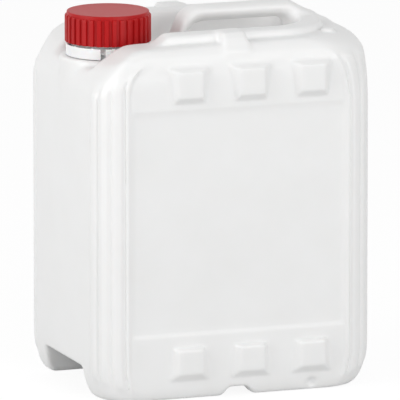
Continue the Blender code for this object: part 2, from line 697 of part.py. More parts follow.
def radial_boxes(name, count, radii, heights, width, first_angle=0):
    """Boxes set around the Z axis, each from one radius to another and between two heights."""
    shape = bmesh.new()
    for index in range(count):
        turn = first_angle + 2 * math.pi * index / count
        made = bmesh.ops.create_cube(shape, size=1)["verts"]
        bmesh.ops.scale(shape, vec=(radii[1] - radii[0], width, heights[1] - heights[0]), verts=made)
        middle = ((radii[0] + radii[1]) / 2, 0, (heights[0] + heights[1]) / 2)
        bmesh.ops.translate(shape, vec=middle, verts=made)
        bmesh.ops.rotate(shape, matrix=Matrix.Rotation(turn, 3, "Z"), verts=made)
    return finish_mesh(name, shape)


def neck_profile():
    """Outline of the neck's outer side, from the lip down to the root of the collar."""
    return [(0, NECK_HEIGHT), (NECK_RADIUS - NECK_LIP_RADIUS, NECK_HEIGHT),
            (NECK_RADIUS, NECK_HEIGHT - NECK_LIP_RADIUS),
            (NECK_RADIUS, BEAD_HIGH + BEAD_RADIUS - NECK_RADIUS), (BEAD_RADIUS, BEAD_HIGH),
            (BEAD_RADIUS, BEAD_LOW), (NECK_RADIUS, BEAD_LOW), (NECK_RADIUS, COLLAR_HEIGHT),
            (COLLAR_RADIUS - COLLAR_EDGE, COLLAR_HEIGHT), (COLLAR_RADIUS, COLLAR_HEIGHT - COLLAR_EDGE),
            (COLLAR_RADIUS, COLLAR_ROOT), (0, COLLAR_ROOT)]


def make_container(parts, cutters, material):
    container = add_object("container", lofted_mesh("container", body_rings(0)), parts)
    container.data.materials.append(material)

    def shape(name, *lofts):
        return guide(add_object(name, lofted_mesh(name, *lofts), cutters))

    handle = shape("handle solid", handle_rings(0))
    combine(handle, shape("grip opening", grip_rings(0)), "DIFFERENCE")
    neck = guide(turned("neck solid", neck_profile(), cutters, (NECK_X, 0, 0)))
    thread = helix_loft(NECK_RADIUS - THREAD_SINK, NECK_RADIUS + THREAD_HEIGHT, THREAD_LOW, 0, THREAD_TURNS,
                        THREAD_ROOT_WIDTH, THREAD_CREST_WIDTH)
    thread = guide(add_object("neck thread", lofted_mesh("neck thread", thread), cutters, (NECK_X, 0, 0)))

    combine(container, shape("steep slope", slope_rings(STEEP_SLOPE, 0)), "INTERSECT")
    combine(container, shape("gentle slope", slope_rings(GENTLE_SLOPE, 0)), "INTERSECT")
    platform = shape("platform", platform_rings(0))
    combine(platform, shape("rail ramp", slope_rings(RAIL_RAMP, 0)), "INTERSECT")
    combine(container, platform, "UNION")
    combine(container, shape("valley", valley_rings(0)), "DIFFERENCE")
    combine(container, shape("lugs", *lug_rings(0)), "UNION")
    combine(container, shape("label panels", *panel_rings(0)), "DIFFERENCE")
    combine(container, shape("pads", *pad_rings(0)), "UNION")
    combine(container, shape("flutes", *flute_rings()), "UNION")
    combine(container, make_studs(cutters), "UNION")
    combine(container, shape("base channel", channel_rings(0)), "DIFFERENCE")
    combine(container, shape("rail recess", rail_recess_rings(0)), "DIFFERENCE")
    combine(container, shape("lug notches", *notch_rings(0)), "DIFFERENCE")
    combine(container, make_pockets("pockets", 0, cutters), "DIFFERENCE")
    combine(container, handle, "UNION")
    combine(container, neck, "UNION")
    combine(container, thread, "UNION")
    combine(container, make_cavity(shape, cutters), "DIFFERENCE")
    return container


def make_cavity(shape, cutters):
    """The room inside the container: the same forms, one wall thickness further in, and the neck's bore."""
    cavity = shape("cavity", body_rings(WALL))
    hollow_handle = shape("handle hollow", handle_rings(WALL))
    combine(hollow_handle, shape("grip opening wall", grip_rings(WALL)), "DIFFERENCE")
    collar_roof = COLLAR_HEIGHT - WALL
    bore = [(0, NECK_HEIGHT + OVERRUN), (BORE_RADIUS, NECK_HEIGHT + OVERRUN), (BORE_RADIUS, collar_roof),
            (COLLAR_RADIUS - WALL, collar_roof), (COLLAR_RADIUS - WALL, COLLAR_ROOT), (0, COLLAR_ROOT)]
    bore = guide(turned("neck bore", bore, cutters, (NECK_X, 0, 0)))
    combine(cavity, shape("steep slope wall", slope_rings(STEEP_SLOPE, WALL)), "INTERSECT")
    combine(cavity, shape("gentle slope wall", slope_rings(GENTLE_SLOPE, WALL)), "INTERSECT")
    hollow_platform = shape("platform hollow", platform_rings(WALL))
    combine(hollow_platform, shape("rail ramp wall", slope_rings(RAIL_RAMP, WALL)), "INTERSECT")
    combine(cavity, hollow_platform, "UNION")
    combine(cavity, shape("valley wall", valley_rings(WALL)), "DIFFERENCE")
    combine(cavity, shape("lug hollows", *lug_rings(WALL)), "UNION")
    combine(cavity, shape("panel walls", *panel_rings(WALL)), "DIFFERENCE")
    combine(cavity, shape("pad hollows", *pad_rings(WALL)), "UNION")
    combine(cavity, shape("channel wall", channel_rings(WALL)), "DIFFERENCE")
    combine(cavity, shape("rail recess wall", rail_recess_rings(WALL)), "DIFFERENCE")
    combine(cavity, shape("notch walls", *notch_rings(WALL)), "DIFFERENCE")
    combine(cavity, make_pockets("pocket walls", WALL, cutters), "DIFFERENCE")
    combine(cavity, hollow_handle, "UNION")
    combine(cavity, bore, "UNION")
    return cavity


def make_studs(cutters):
    """Two low round studs on the shoulder, at the end away from the neck."""
    shape = bmesh.new()
    for side in (1, -1):
        made = bmesh.ops.create_cone(shape, cap_ends=True, segments=ROUND_STEPS // 2, radius1=STUD_RADIUS,
                                     radius2=STUD_RADIUS - STUD_EDGE, depth=2 * STUD_RISE)["verts"]
        bmesh.ops.translate(shape, vec=(STUD_X, side * STUD_Y, SHOULDER_HEIGHT), verts=made)
    return guide(add_object("studs", finish_mesh("studs", shape), cutters))


def make_pockets(name, outset, cutters):
    """Two small round pockets in the foot of the wide faces."""
    shape = bmesh.new()
    for side in (1, -1):
        made = bmesh.ops.create_uvsphere(shape, u_segments=16, v_segments=8,
                                         radius=POCKET_RADIUS + outset)["verts"]
        place = (POCKET_X, side * (BODY_DEPTH / 2 + POCKET_OUT), POCKET_HEIGHT)
        bmesh.ops.translate(shape, vec=place, verts=made)
    return guide(add_object(name, finish_mesh(name, shape), cutters))


def make_tamper_ring(parts, cutters, material):
    """Slotted band round the neck, held down by an inward hook under the neck's bead."""
    inner = RING_RADIUS - RING_WALL
    hook = NECK_RADIUS + BEAD_CLEARANCE
    profile = [(RING_RADIUS, RING_HIGH), (RING_RADIUS, RING_LOW), (inner, RING_LOW), (hook, HOOK_LOW),
               (hook, HOOK_HIGH), (inner, HOOK_HIGH + BEAD_CLEARANCE), (inner, RING_HIGH)]
    ring = turned("tamper_ring", profile, parts, (NECK_X, 0, 0), closed=True)
    ring.data.materials.append(material)
    stub_radii = (inner + MERGE_DISTANCE, RING_RADIUS - MERGE_DISTANCE)
    stub_heights = (RING_HIGH - BRIDGE_RISE, RING_HIGH + BRIDGE_RISE)
    stubs = radial_boxes("bridge stubs", BRIDGE_COUNT, stub_radii, stub_heights, BRIDGE_WIDTH,
                         RING_SLOT_ANGLE + math.pi / BRIDGE_COUNT)
    combine(ring, guide(add_object("bridge stubs", stubs, cutters, (NECK_X, 0, 0))), "UNION")
    slot = radial_boxes("ring slot", 1, (BORE_RADIUS, RING_RADIUS + OVERRUN),
                        (RING_LOW - OVERRUN, RING_HIGH + OVERRUN), RING_SLOT_WIDTH, RING_SLOT_ANGLE)
    combine(ring, guide(add_object("ring slot", slot, cutters, (NECK_X, 0, 0))), "DIFFERENCE")
    return ring


def make_sealing_disc(parts, material):
    high = DISC_LOW + DISC_THICKNESS
    profile = [(0, high), (DISC_RADIUS, high), (DISC_RADIUS, DISC_LOW), (0, DISC_LOW)]
    disc = turned("sealing_disc", profile, parts, (NECK_X, 0, 0))
    disc.data.materials.append(material)
    return disc


def make_inner_cap(parts, cutters, material):
    """Threaded shell with a flange that the outer cap's snap bead hooks under."""
    skirt = SNAP_RADIUS - SNAP_CLEARANCE
    flange = CAP_LOW + SNAP_HEIGHT + SNAP_CLEARANCE + PRESS_TRAVEL
    profile = [(0, INNER_TOP), (INNER_RADIUS - INNER_FLANGE, INNER_TOP), (INNER_RADIUS, INNER_TOP - INNER_FLANGE),
               (INNER_RADIUS, flange), (skirt, flange), (skirt, INNER_SKIRT_LOW), (INNER_BORE, INNER_SKIRT_LOW),
               (INNER_BORE, INNER_PLATE_LOW), (0, INNER_PLATE_LOW)]
    cap = turned("inner_cap", profile, parts, (NECK_X, 0, 0))
    cap.data.materials.append(material)
    lowering = (THREAD_ROOT_WIDTH + THREAD_CREST_WIDTH) / 2 + THREAD_FLANK_GAP
    ridge = helix_loft(INNER_BORE + THREAD_SINK, NECK_RADIUS + THREAD_CLEARANCE, THREAD_LOW - lowering,
                       1 - CAP_THREAD_TURNS / 2, CAP_THREAD_TURNS, THREAD_ROOT_WIDTH, THREAD_CREST_WIDTH)
    ridge = guide(add_object("cap thread", lofted_mesh("cap thread", ridge), cutters, (NECK_X, 0, 0)))
    combine(cap, ridge, "UNION")
    radii = (PRESS_LUG_MIDDLE - PRESS_LUG_LENGTH / 2, PRESS_LUG_MIDDLE + PRESS_LUG_LENGTH / 2)
    heights = (INNER_TOP - INNER_PLATE / 2, INNER_TOP + PRESS_LUG_RISE)
    lugs = radial_boxes("inner press lugs", LUG_COUNT, radii, heights, PRESS_LUG_WIDTH)
    combine(cap, guide(add_object("inner press lugs", lugs, cutters, (NECK_X, 0, 0))), "UNION")
    return cap


def make_outer_cap(parts, cutters, material):
    """Ribbed shell. Its snap bead hooks under the inner cap's flange and its lugs lie between the inner ones."""
    low = CAP_LOW
    under = CAP_TOP - CAP_PLATE
    shell = CAP_RADIUS - RIB_DEPTH
    band = CAP_TOP - CAP_BAND
    profile = [(0, CAP_TOP), (shell - CAP_EDGE_RADIUS, CAP_TOP), (shell, CAP_TOP - CAP_EDGE_RADIUS),
               (shell, band + RIB_BEVEL), (CAP_RADIUS, band), (CAP_RADIUS, low), (SNAP_RADIUS + SNAP_CLEARANCE, low),
               (SNAP_RADIUS, low + SNAP_CLEARANCE), (SNAP_RADIUS, low + SNAP_HEIGHT),
               (CAP_BORE_RADIUS, low + SNAP_HEIGHT), (CAP_BORE_RADIUS, under), (0, under)]
    cap = turned("outer_cap", profile, parts, (NECK_X, 0, 0))
    cap.data.materials.append(material)
    grooves = radial_boxes("grip grooves", RIB_COUNT, (shell, CAP_RADIUS + OVERRUN),
                           (low - OVERRUN, band + RIB_BEVEL + MERGE_DISTANCE), GROOVE_WIDTH)
    combine(cap, guide(add_object("grip grooves", grooves, cutters, (NECK_X, 0, 0))), "DIFFERENCE")
    radii = (PRESS_LUG_MIDDLE - PRESS_LUG_LENGTH / 2, PRESS_LUG_MIDDLE + PRESS_LUG_LENGTH / 2)
    lugs = radial_boxes("outer press lugs", LUG_COUNT, radii, (under - PRESS_LUG_RISE, under + CAP_PLATE / 2),
                        PRESS_LUG_WIDTH, math.pi / LUG_COUNT)
    combine(cap, guide(add_object("outer press lugs", lugs, cutters, (NECK_X, 0, 0))), "UNION")
    return cap


def main():
    for thing in list(bpy.data.objects):
        bpy.data.objects.remove(thing)
    parts = collection_named("jerrycan")
    cutters = collection_named("construction shapes")
    natural = plastic("natural white HDPE", (0.86, 0.87, 0.86), 0.38)
    white = plastic("white moulded polypropylene", (0.85, 0.85, 0.84), 0.30)
    red = plastic("red moulded polypropylene", (0.50, 0.022, 0.022), 0.34)
    foam = plastic("white polyethylene foam", (0.80, 0.80, 0.78), 0.85)
    make_container(parts, cutters, natural)
    make_tamper_ring(parts, cutters, white)
    make_sealing_disc(parts, foam)
    make_inner_cap(parts, cutters, white)
    make_outer_cap(parts, cutters, red)


main()
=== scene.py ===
# %% [markdown]
# A ten litre stacking jerrycan. The can is one blow-moulded HDPE shell: a tube of molten plastic was
# blown against a mould, so every edge is soft and every form, even the handle, is hollow. Its closure
# is injection moulded, with crisp edges. The frame holds the CAD model, and this lesson dresses it.

# %% The frame
import math

import bmesh
import bpy
import numpy as np
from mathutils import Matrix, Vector


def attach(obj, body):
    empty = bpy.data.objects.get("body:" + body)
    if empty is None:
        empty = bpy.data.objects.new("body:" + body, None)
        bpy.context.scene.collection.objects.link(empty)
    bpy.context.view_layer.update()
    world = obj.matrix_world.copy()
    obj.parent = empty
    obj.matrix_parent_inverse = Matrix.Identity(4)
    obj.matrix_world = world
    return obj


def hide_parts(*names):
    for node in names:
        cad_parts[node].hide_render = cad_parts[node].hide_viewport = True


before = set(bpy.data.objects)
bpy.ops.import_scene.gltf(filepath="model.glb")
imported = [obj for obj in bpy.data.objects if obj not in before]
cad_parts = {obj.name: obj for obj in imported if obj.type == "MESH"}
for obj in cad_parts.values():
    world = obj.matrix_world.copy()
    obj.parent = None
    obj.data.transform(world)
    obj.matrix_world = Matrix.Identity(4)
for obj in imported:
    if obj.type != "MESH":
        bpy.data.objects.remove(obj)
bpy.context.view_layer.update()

# %% [markdown]
# Product pictures are taken from far away with a long lens, so that upright edges stay parallel. The
# camera stands 20 degrees round from the wide face and looks down by 11 degrees.

# %% Camera
AZIMUTH, ELEVATION = -20.2, 11
LENS, SENSOR = 900, 36
VIEW_WIDTH = 0.3303
TARGET = Vector((0, 0, 0.14639))


def aimed(data, azimuth, elevation, distance):
    """Puts a camera or a lamp at target + away x distance, looking back at the target.

    away is a unit vector: azimuth turns it about Z and elevation lifts it, both in degrees.
    """
    turn, lift = math.radians(azimuth), math.radians(elevation)
    away = Vector((math.sin(turn) * math.cos(lift), -math.cos(turn) * math.cos(lift), math.sin(lift)))
    thing = bpy.data.objects.new(data.name, data)
    bpy.context.scene.collection.objects.link(thing)
    thing.location = TARGET + away * distance
    thing.rotation_mode = "QUATERNION"
    thing.rotation_quaternion = away.to_track_quat("Z", "Y")
    return thing


def add_camera():
    """A long lens at a distance of view width x lens / sensor."""
    data = bpy.data.cameras.new("product camera")
    data.lens = LENS
    data.sensor_width = SENSOR
    data.clip_start = 0.1
    data.clip_end = 50
    bpy.context.scene.camera = aimed(data, AZIMUTH, ELEVATION, VIEW_WIDTH * LENS / SENSOR)


add_camera()
print("camera stands", round(VIEW_WIDTH * LENS / SENSOR, 2), "m away")

# %% [markdown]
# Blender's shaders want linear light, and a designer writes colours as sRGB hex. One function turns
# the one into the other, and one more adds a shader node with its settings and links.

# %% Colours and shader nodes


def linear(code):
    """sRGB hex to linear: a channel c becomes c / 12.92 if dark, else ((c + 0.055) / 1.055) ^ 2.4."""
    channels = np.array([int(code[index:index + 2], 16) for index in (1, 3, 5)]) / 255
    curved = ((channels + 0.055) / 1.055) ** 2.4
    return (*np.where(channels <= 0.04045, channels / 12.92, curved).tolist(), 1.0)


def add_node(material, kind, settings=(), inputs=(), links=()):
    """Adds a node. settings are its properties, inputs are socket values, links are (socket, output)."""
    node = material.node_tree.nodes.new(kind)
    for name, value in dict(settings).items():
        setattr(node, name, value)
    for name, value in dict(inputs).items():
        node.inputs[name].default_value = value
    for name, output in dict(links).items():
        material.node_tree.links.new(output, node.inputs[name])
    return node


def new_material(name):
    """An empty material and its Principled shader, with Object coordinates ready for its patterns."""
    material = bpy.data.materials.new(name)
    material.use_nodes = True
    material.node_tree.nodes.clear()
    shader = add_node(material, "ShaderNodeBsdfPrincipled")
    add_node(material, "ShaderNodeOutputMaterial", links={"Surface": shader.outputs["BSDF"]})
    place = add_node(material, "ShaderNodeTexCoord").outputs["Object"]
    return material, shader, place


print("mid grey in linear light:", [round(value, 3) for value in linear("#808080")[:3]])

# %% [markdown]
# The ground is a plain pale sweep. A camera ray that meets it sees plain white mixed with the shaded
# floor, so that the page stays white while the can still throws its shadow. Rays that carry soft light
# only meet the pale floor, which sends some of it back up into the can's undercuts.

# %% Floor and background
FLOOR_SIZE = 6.0
FLOOR_DROP = 0.0002
FLOOR_COLOUR = "#CCCCCC"
PAGE_SHARE, PAGE_STRENGTH = 0.8, 1.13
SKY = 0.52


def seen_directly(material):
    """1 for camera, mirror and see-through rays, and 0 for the rays that carry soft light."""
    rays = add_node(material, "ShaderNodeLightPath")
    seen = add_node(material, "ShaderNodeMath", {"operation": "MAXIMUM"},
                    links={0: rays.outputs["Is Camera Ray"], 1: rays.outputs["Is Glossy Ray"]})
    clear = add_node(material, "ShaderNodeMath", {"operation": "MAXIMUM"},
                     links={0: seen.outputs[0], 1: rays.outputs["Is Transmission Ray"]})
    return clear.outputs[0]


def add_floor():
    """A square of floor just under the can."""
    half = FLOOR_SIZE / 2
    mesh = bpy.data.meshes.new("floor")
    corners = [(x, y, -FLOOR_DROP) for x, y in ((-half, -half), (half, -half), (half, half), (-half, half))]
    mesh.from_pydata(corners, [], [(0, 1, 2, 3)])
    floor = bpy.data.objects.new("floor", mesh)
    bpy.context.scene.collection.objects.link(floor)
    material, shader, _ = new_material("white paper sweep")
    shader.inputs["Base Color"].default_value = linear(FLOOR_COLOUR)
    shader.inputs["Roughness"].default_value = 0.9
    shader.inputs["Specular IOR Level"].default_value = 0.1
    page = add_node(material, "ShaderNodeEmission", inputs={"Strength": PAGE_STRENGTH})
    share = add_node(material, "ShaderNodeMath", {"operation": "MULTIPLY"}, {1: PAGE_SHARE},
                     {0: seen_directly(material)})
    mixed = add_node(material, "ShaderNodeMixShader",
                     links={0: share.outputs[0], 1: shader.outputs["BSDF"], 2: page.outputs[0]})
    output = next(node for node in material.node_tree.nodes if node.type == "OUTPUT_MATERIAL")
    material.node_tree.links.new(mixed.outputs[0], output.inputs["Surface"])
    mesh.materials.append(material)


def white_world():
    """The sky lights the can evenly. Camera, mirror and see-through rays meet plain white."""
    world = bpy.data.worlds.new("studio")
    bpy.context.scene.world = world
    world.use_nodes = True
    world.node_tree.nodes.clear()
    light = add_node(world, "ShaderNodeBackground", inputs={"Color": (1, 1, 1, 1), "Strength": SKY})
    page = add_node(world, "ShaderNodeBackground", inputs={"Color": (1, 1, 1, 1), "Strength": 1.0})
    mixed = add_node(world, "ShaderNodeMixShader",
                     links={0: seen_directly(world), 1: light.outputs[0], 2: page.outputs[0]})
    add_node(world, "ShaderNodeOutputWorld", links={"Surface": mixed.outputs[0]})


add_floor()
white_world()
print("floor and sky are in place")

# %% [markdown]
# Three large soft lamps stand round the can: one low on the left, one low in front and a weak one
# overhead. Large lamps keep the shading of pale plastic gentle.

# %% Lamps
# Name, azimuth and elevation in degrees, distance and size in metres, power in watts
LAMPS = [("left", -80, 20, 1.6, 1.1, 11.2),
         ("front", 14, 17, 1.8, 1.1, 11.6),
         ("top", 0, 80, 1.5, 1.2, 0.8)]


def add_lamp(name, azimuth, elevation, distance, size, watts):
    """A square area lamp that looks at the middle of the can."""
    data = bpy.data.lights.new(name, "AREA")
    data.size = size
    data.energy = watts
    aimed(data, azimuth, elevation, distance)


for lamp in LAMPS:
    add_lamp(*lamp)
print("lamps:", len(LAMPS))

# %% [markdown]
# A blown shell is easier to describe than to mesh: each form is written as a distance, negative
# inside, and two forms are joined with the smaller distance. Where two distances are nearly equal the
# join is rounded, which gives the soft fillets that molten plastic leaves in a mould. Each distance
# is worked out for a whole grid of points at once.

# %% Joining and cutting by distance


def soft_min(first, second, radius):
    """Union: the smaller distance, less (radius - difference)^2 / (4 radius) where they are close."""
    near = np.maximum(radius - np.abs(first - second), 0)
    return np.minimum(first, second) - near ** 2 / (4 * radius)


def soft_max(first, second, radius):
    """Intersection: the larger distance, plus (radius - difference)^2 / (4 radius) where they are close."""
    near = np.maximum(radius - np.abs(first - second), 0)
    return np.maximum(first, second) + near ** 2 / (4 * radius)


def rolled(wall, top, run, rise):
    """Distance to a wall and a top that meet in a quarter ellipse of the given run and rise.

    It is root(across^2 + up^2) - 1, over its steepness.
    """
    across = np.maximum(wall / run + 1, 0)
    up = np.maximum(top / rise + 1, 0)
    length = np.maximum(np.hypot(across, up), 1e-6)
    steepness = np.maximum(np.hypot(across / run, up / rise) / length, 1 / (run + rise))
    return (length - 1) / steepness


def box_distance(x, y, half_x, half_y, radius):
    """Distance in the plane to a rounded rectangle: how far past its corner's centre, less the radius."""
    over_x, over_y = np.abs(x) - half_x + radius, np.abs(y) - half_y + radius
    outside = np.hypot(np.maximum(over_x, 0), np.maximum(over_y, 0))
    return outside + np.minimum(np.maximum(over_x, over_y), 0) - radius


def outline_distance(points, u, v):
    """Distance in the plane to a closed outline's nearest side, negative after an odd number of crossings."""
    nearest = np.full(np.broadcast(u, v).shape, np.inf)
    sign = np.ones(nearest.shape)
    for (ax, ay), (bx, by) in zip(points, np.roll(points, -1, axis=0)):
        side_x, side_y = bx - ax, by - ay
        length = side_x ** 2 + side_y ** 2
        if length < 1e-16:
            continue
        share = np.clip(((u - ax) * side_x + (v - ay) * side_y) / length, 0, 1)
        nearest = np.minimum(nearest, (u - ax - share * side_x) ** 2 + (v - ay - share * side_y) ** 2)
        crosses = ((ay > v) != (by > v)) & (u < side_x * (v - ay) / (side_y if side_y else 1) + ax)
        sign = np.where(crosses, -sign, sign)
    return np.sqrt(nearest) * sign


def rounded_outline(corners, steps=10):
    """Outline through (u, v, radius) corners, each rounded by an arc that touches both sides.

    The arc's centre lies radius / sin(half the corner) along the bisector.
    """
    points = []
    for index, (u, v, radius) in enumerate(corners):
        here = np.array((u, v))
        before = np.array(corners[index - 1][:2]) - here
        after = np.array(corners[(index + 1) % len(corners)][:2]) - here
        before, after = before / np.hypot(*before), after / np.hypot(*after)
        if radius == 0:
            points.append(here)
            continue
        half = math.acos(np.clip(before @ after, -1, 1)) / 2
        centre = here + (before + after) / np.hypot(*(before + after)) * radius / math.sin(half)
        start, end = here + before * radius / math.tan(half), here + after * radius / math.tan(half)
        first = math.atan2(*(start - centre)[::-1])
        swing = (math.atan2(*(end - centre)[::-1]) - first + math.pi) % (2 * math.pi) - math.pi
        angles = first + swing * np.linspace(0, 1, steps + 1)
        points.extend(centre + radius * np.stack((np.cos(angles), np.sin(angles)), axis=1))
    return np.array(points)


to_square = float(box_distance(0.014, 0.014, 0.01, 0.01, 0))
print("a point 4 mm out both ways is", round(to_square * 1000, 2), "mm from a square")

# %% [markdown]
# The grid is finer where the can has detail: at the corners with their ribs, in the shoulder and at
# the foot. The tall plain walls take long steps. Only one half is worked out, because the can is the
# same in front and behind.

# %% The grid


def spaced(stops):
    """Coordinates through (place, step) stops: each stretch is divided evenly by about its step."""
    values = [np.array([stops[0][0]])]
    for (start, step), (end, _) in zip(stops, stops[1:]):
        values.append(np.linspace(start, end, max(1, round((end - start) / step)) + 1)[1:])
    return np.concatenate(values)


STEP_FINE, STEP_PLAIN, STEP_TALL = 0.00152, 0.0021, 0.0065
grid_x = spaced([(-0.1245, STEP_FINE), (-0.0905, STEP_PLAIN), (0.0905, STEP_FINE), (0.1245, 0)])
half_y = spaced([(STEP_PLAIN / 2, STEP_PLAIN), (0.0645, STEP_FINE), (0.1015, 0)])
grid_y = np.concatenate((-half_y[::-1], half_y))
grid_z = spaced([(-0.0035, STEP_FINE), (0.0575, STEP_TALL), (0.2375, STEP_FINE), (0.3145, 0)])
X, Y, Z = grid_x[:, None, None], half_y[None, :, None], grid_z[None, None, :]
print("grid points in one half:", len(grid_x) * len(half_y) * len(grid_z))

# %% [markdown]
# The body is a rounded box whose section changes with height. Its top edges are parts of ellipses:
# tall over the wide faces, and long and low at the ends. The corners open up towards the shoulder, which
# is how a blow mould keeps the wall from thinning there. Two planes slope the shoulder down to the
# neck end. The rounded edges are given as (run, rise) of their ellipses.

# %% Body
BODY_WIDTH, BODY_DEPTH, SHOULDER = 0.241, 0.184, 0.2935
CORNER_RADIUS = 0.0277
STEEP_SLOPE = (math.radians(35.4), 0.2662)
GENTLE_SLOPE = (math.radians(1.4), 0.2893)
RAIL_RAMP = (math.radians(38.9), 0.2431)
RIM_END_RUN, RIM_SIDE_RUN, RIM_RISE = 0.0177, 0.0025, 0.0195
END_TOP, SIDE_TOP = (0.0165, 0.014), (0.013, 0.0235)
NECK_END_FOOT, GRIP_END_FOOT, SIDE_FOOT = (0.011, 0.035), (0.016, 0.035), (0.004, 0.0125)
CORNER_OPENING, NECK_OPENING_RISE, GRIP_OPENING_RISE = 0.0373, 0.040, 0.060
SLOPES_JOIN, TOP_JOIN = 0.0045, 0.003
WALL_CLEAR, WALL_CLEAR_RISE = 0.006, 0.020
HOLLOW_EDGE, HOLLOW_RUN = 0.0015, 0.002


def drawn_in(distance, run, rise):
    """An ellipse's run at a distance from its tip: run x (1 - root(1 - share^2)).

    share = 1 - distance / rise, between 0 and 1.
    """
    share = np.clip(1 - distance / rise, 0, 1)
    return run * (1 - np.sqrt(1 - share ** 2))


def section(z):
    """Reach to the neck end, the grip end and the sides, and both ends' corner radii, at each height."""
    below = np.maximum(SHOULDER - z, 0)
    end = BODY_WIDTH / 2 - drawn_in(below, *END_TOP)
    neck_end, grip_end = end - drawn_in(z, *NECK_END_FOOT), end - drawn_in(z, *GRIP_END_FOOT)
    side = BODY_DEPTH / 2 - drawn_in(z, *SIDE_FOOT) - drawn_in(below, *SIDE_TOP)
    neck_radius = CORNER_RADIUS + drawn_in(below, CORNER_OPENING, NECK_OPENING_RISE)
    grip_radius = CORNER_RADIUS + drawn_in(below, CORNER_OPENING, GRIP_OPENING_RISE)
    return neck_end, grip_end, side, neck_radius, grip_radius


def body_outline(z):
    """Distance to the body's outline at each height."""
    neck_end, grip_end, side, neck_radius, grip_radius = section(z)
    radius = np.where(X > 0, grip_radius, neck_radius)
    return box_distance(X - (grip_end - neck_end) / 2, Y, (grip_end + neck_end) / 2, side, radius)


def under_slope(slope):
    """Distance to a block under a plane that rises from the neck end, with its rim rolled down.

    Further down, the block clears the flat walls, or the soft joins would draw these in. They do so
    only at the corners, where the ribs stand in a shallow hollow. The rim's run goes over from the
    end's to the side's round each corner.
    """
    angle, start = slope
    plane = (Z - start - (X + BODY_WIDTH / 2) * math.tan(angle)) * math.cos(angle)
    wall = box_distance(X, Y, BODY_WIDTH / 2, BODY_DEPTH / 2, CORNER_RADIUS)
    over_x, over_y = np.abs(X) - BODY_WIDTH / 2 + CORNER_RADIUS, np.abs(Y) - BODY_DEPTH / 2 + CORNER_RADIUS
    flat = np.clip((HOLLOW_EDGE - np.minimum(over_x, over_y)) / HOLLOW_RUN, 0, 1)
    wall = wall - WALL_CLEAR * flat * np.clip((-plane - RIM_RISE * math.cos(angle)) / WALL_CLEAR_RISE, 0, 1)
    corner = np.maximum(np.hypot(np.maximum(over_x, 0), np.maximum(over_y, 0)), 1e-9)
    run = (RIM_END_RUN * np.maximum(over_x, 0) + RIM_SIDE_RUN * np.maximum(over_y, 0)) / corner
    run = np.where(corner > 1e-8, run, np.where(over_x > over_y, RIM_END_RUN, RIM_SIDE_RUN))
    return rolled(wall, plane, run, RIM_RISE * math.cos(angle))


def body_distance():
    """The outline's distance over the slant of the wall, capped by the top and the base."""
    nudge = 0.00005
    slant = (body_outline(Z + nudge) - body_outline(Z - nudge)) / (2 * nudge)
    walls = body_outline(Z) / np.hypot(1, slant)
    block = np.maximum(np.maximum(walls, Z - SHOULDER), -Z)
    slopes = soft_max(under_slope(STEEP_SLOPE), under_slope(GENTLE_SLOPE), SLOPES_JOIN)
    return soft_max(block, slopes, TOP_JOIN)


solid = body_distance()
print("body worked out")

# %% [markdown]
# Two stacking rails run along the top. They are one raised platform with a valley cut through it, so
# that the rails and the rounded end behind the handle flow into each other. The can above stands on
# the rails, and the valley makes room for the hand.

# %% Platform and valley
PLATFORM_TOP, PLATFORM_ROOT = SHOULDER + 0.005, 0.255
PLATFORM_START, PLATFORM_END, PLATFORM_HALF, PLATFORM_ROUND = -0.076, 0.050, 0.0715, 0.050
PLATFORM_EDGE, PLATFORM_JOIN = 0.004, 0.003
VALLEY_FLOOR, VALLEY_HALF = 0.270, 0.0495
VALLEY_START, VALLEY_END, VALLEY_ROUND = -0.130, 0.080, 0.037
VALLEY_LEAN, LEAN_MOST, VALLEY_FOOT, VALLEY_JOIN = 0.004, 1.2, 0.006, 0.0045


def platform_outline():
    """Straight sides and, towards +X, half an ellipse."""
    angles = np.linspace(-math.pi / 2, math.pi / 2, 49)
    end = np.stack((PLATFORM_END + PLATFORM_ROUND * np.cos(angles), PLATFORM_HALF * np.sin(angles)), axis=1)
    return np.concatenate((end, [(PLATFORM_START, PLATFORM_HALF), (PLATFORM_START, -PLATFORM_HALF)]))


def platform_distance():
    """The outline stretched upwards, rolled at its top edge and cut by the ramp towards the neck end."""
    plan = outline_distance(platform_outline(), X[:, :, 0], Y[:, :, 0])[:, :, None]
    ramp = (Z - RAIL_RAMP[1] - (X + BODY_WIDTH / 2) * math.tan(RAIL_RAMP[0])) * math.cos(RAIL_RAMP[0])
    block = rolled(plan, Z - PLATFORM_TOP, PLATFORM_EDGE, PLATFORM_EDGE)
    return np.maximum(soft_max(block, ramp, PLATFORM_JOIN), PLATFORM_ROOT - Z)


def valley_distance():
    """The valley's air: open at the neck end, with leaning walls and a rolled foot."""
    outline = rounded_outline([(VALLEY_END, VALLEY_HALF, VALLEY_ROUND), (VALLEY_START, VALLEY_HALF, 0),
                               (VALLEY_START, -VALLEY_HALF, 0), (VALLEY_END, -VALLEY_HALF, VALLEY_ROUND)], 24)
    plan = outline_distance(outline, X[:, :, 0], Y[:, :, 0])[:, :, None]
    share = (PLATFORM_TOP - Z) / (PLATFORM_TOP - VALLEY_FLOOR - VALLEY_FOOT)
    lean = VALLEY_LEAN * np.clip(share, 0, LEAN_MOST)
    return rolled(plan + lean, VALLEY_FLOOR - Z, VALLEY_FOOT, VALLEY_FOOT)


solid = soft_min(solid, platform_distance(), PLATFORM_JOIN)
solid = soft_max(solid, -valley_distance(), VALLEY_JOIN)
print("rails and valley worked out")

# %% [markdown]
# Lugs over the long edges keep a stacked can from sliding, and two studs sit on the shoulder. The
# wide faces carry pads that take the knocks, and between them lies a label panel, less than a
# millimetre deep.

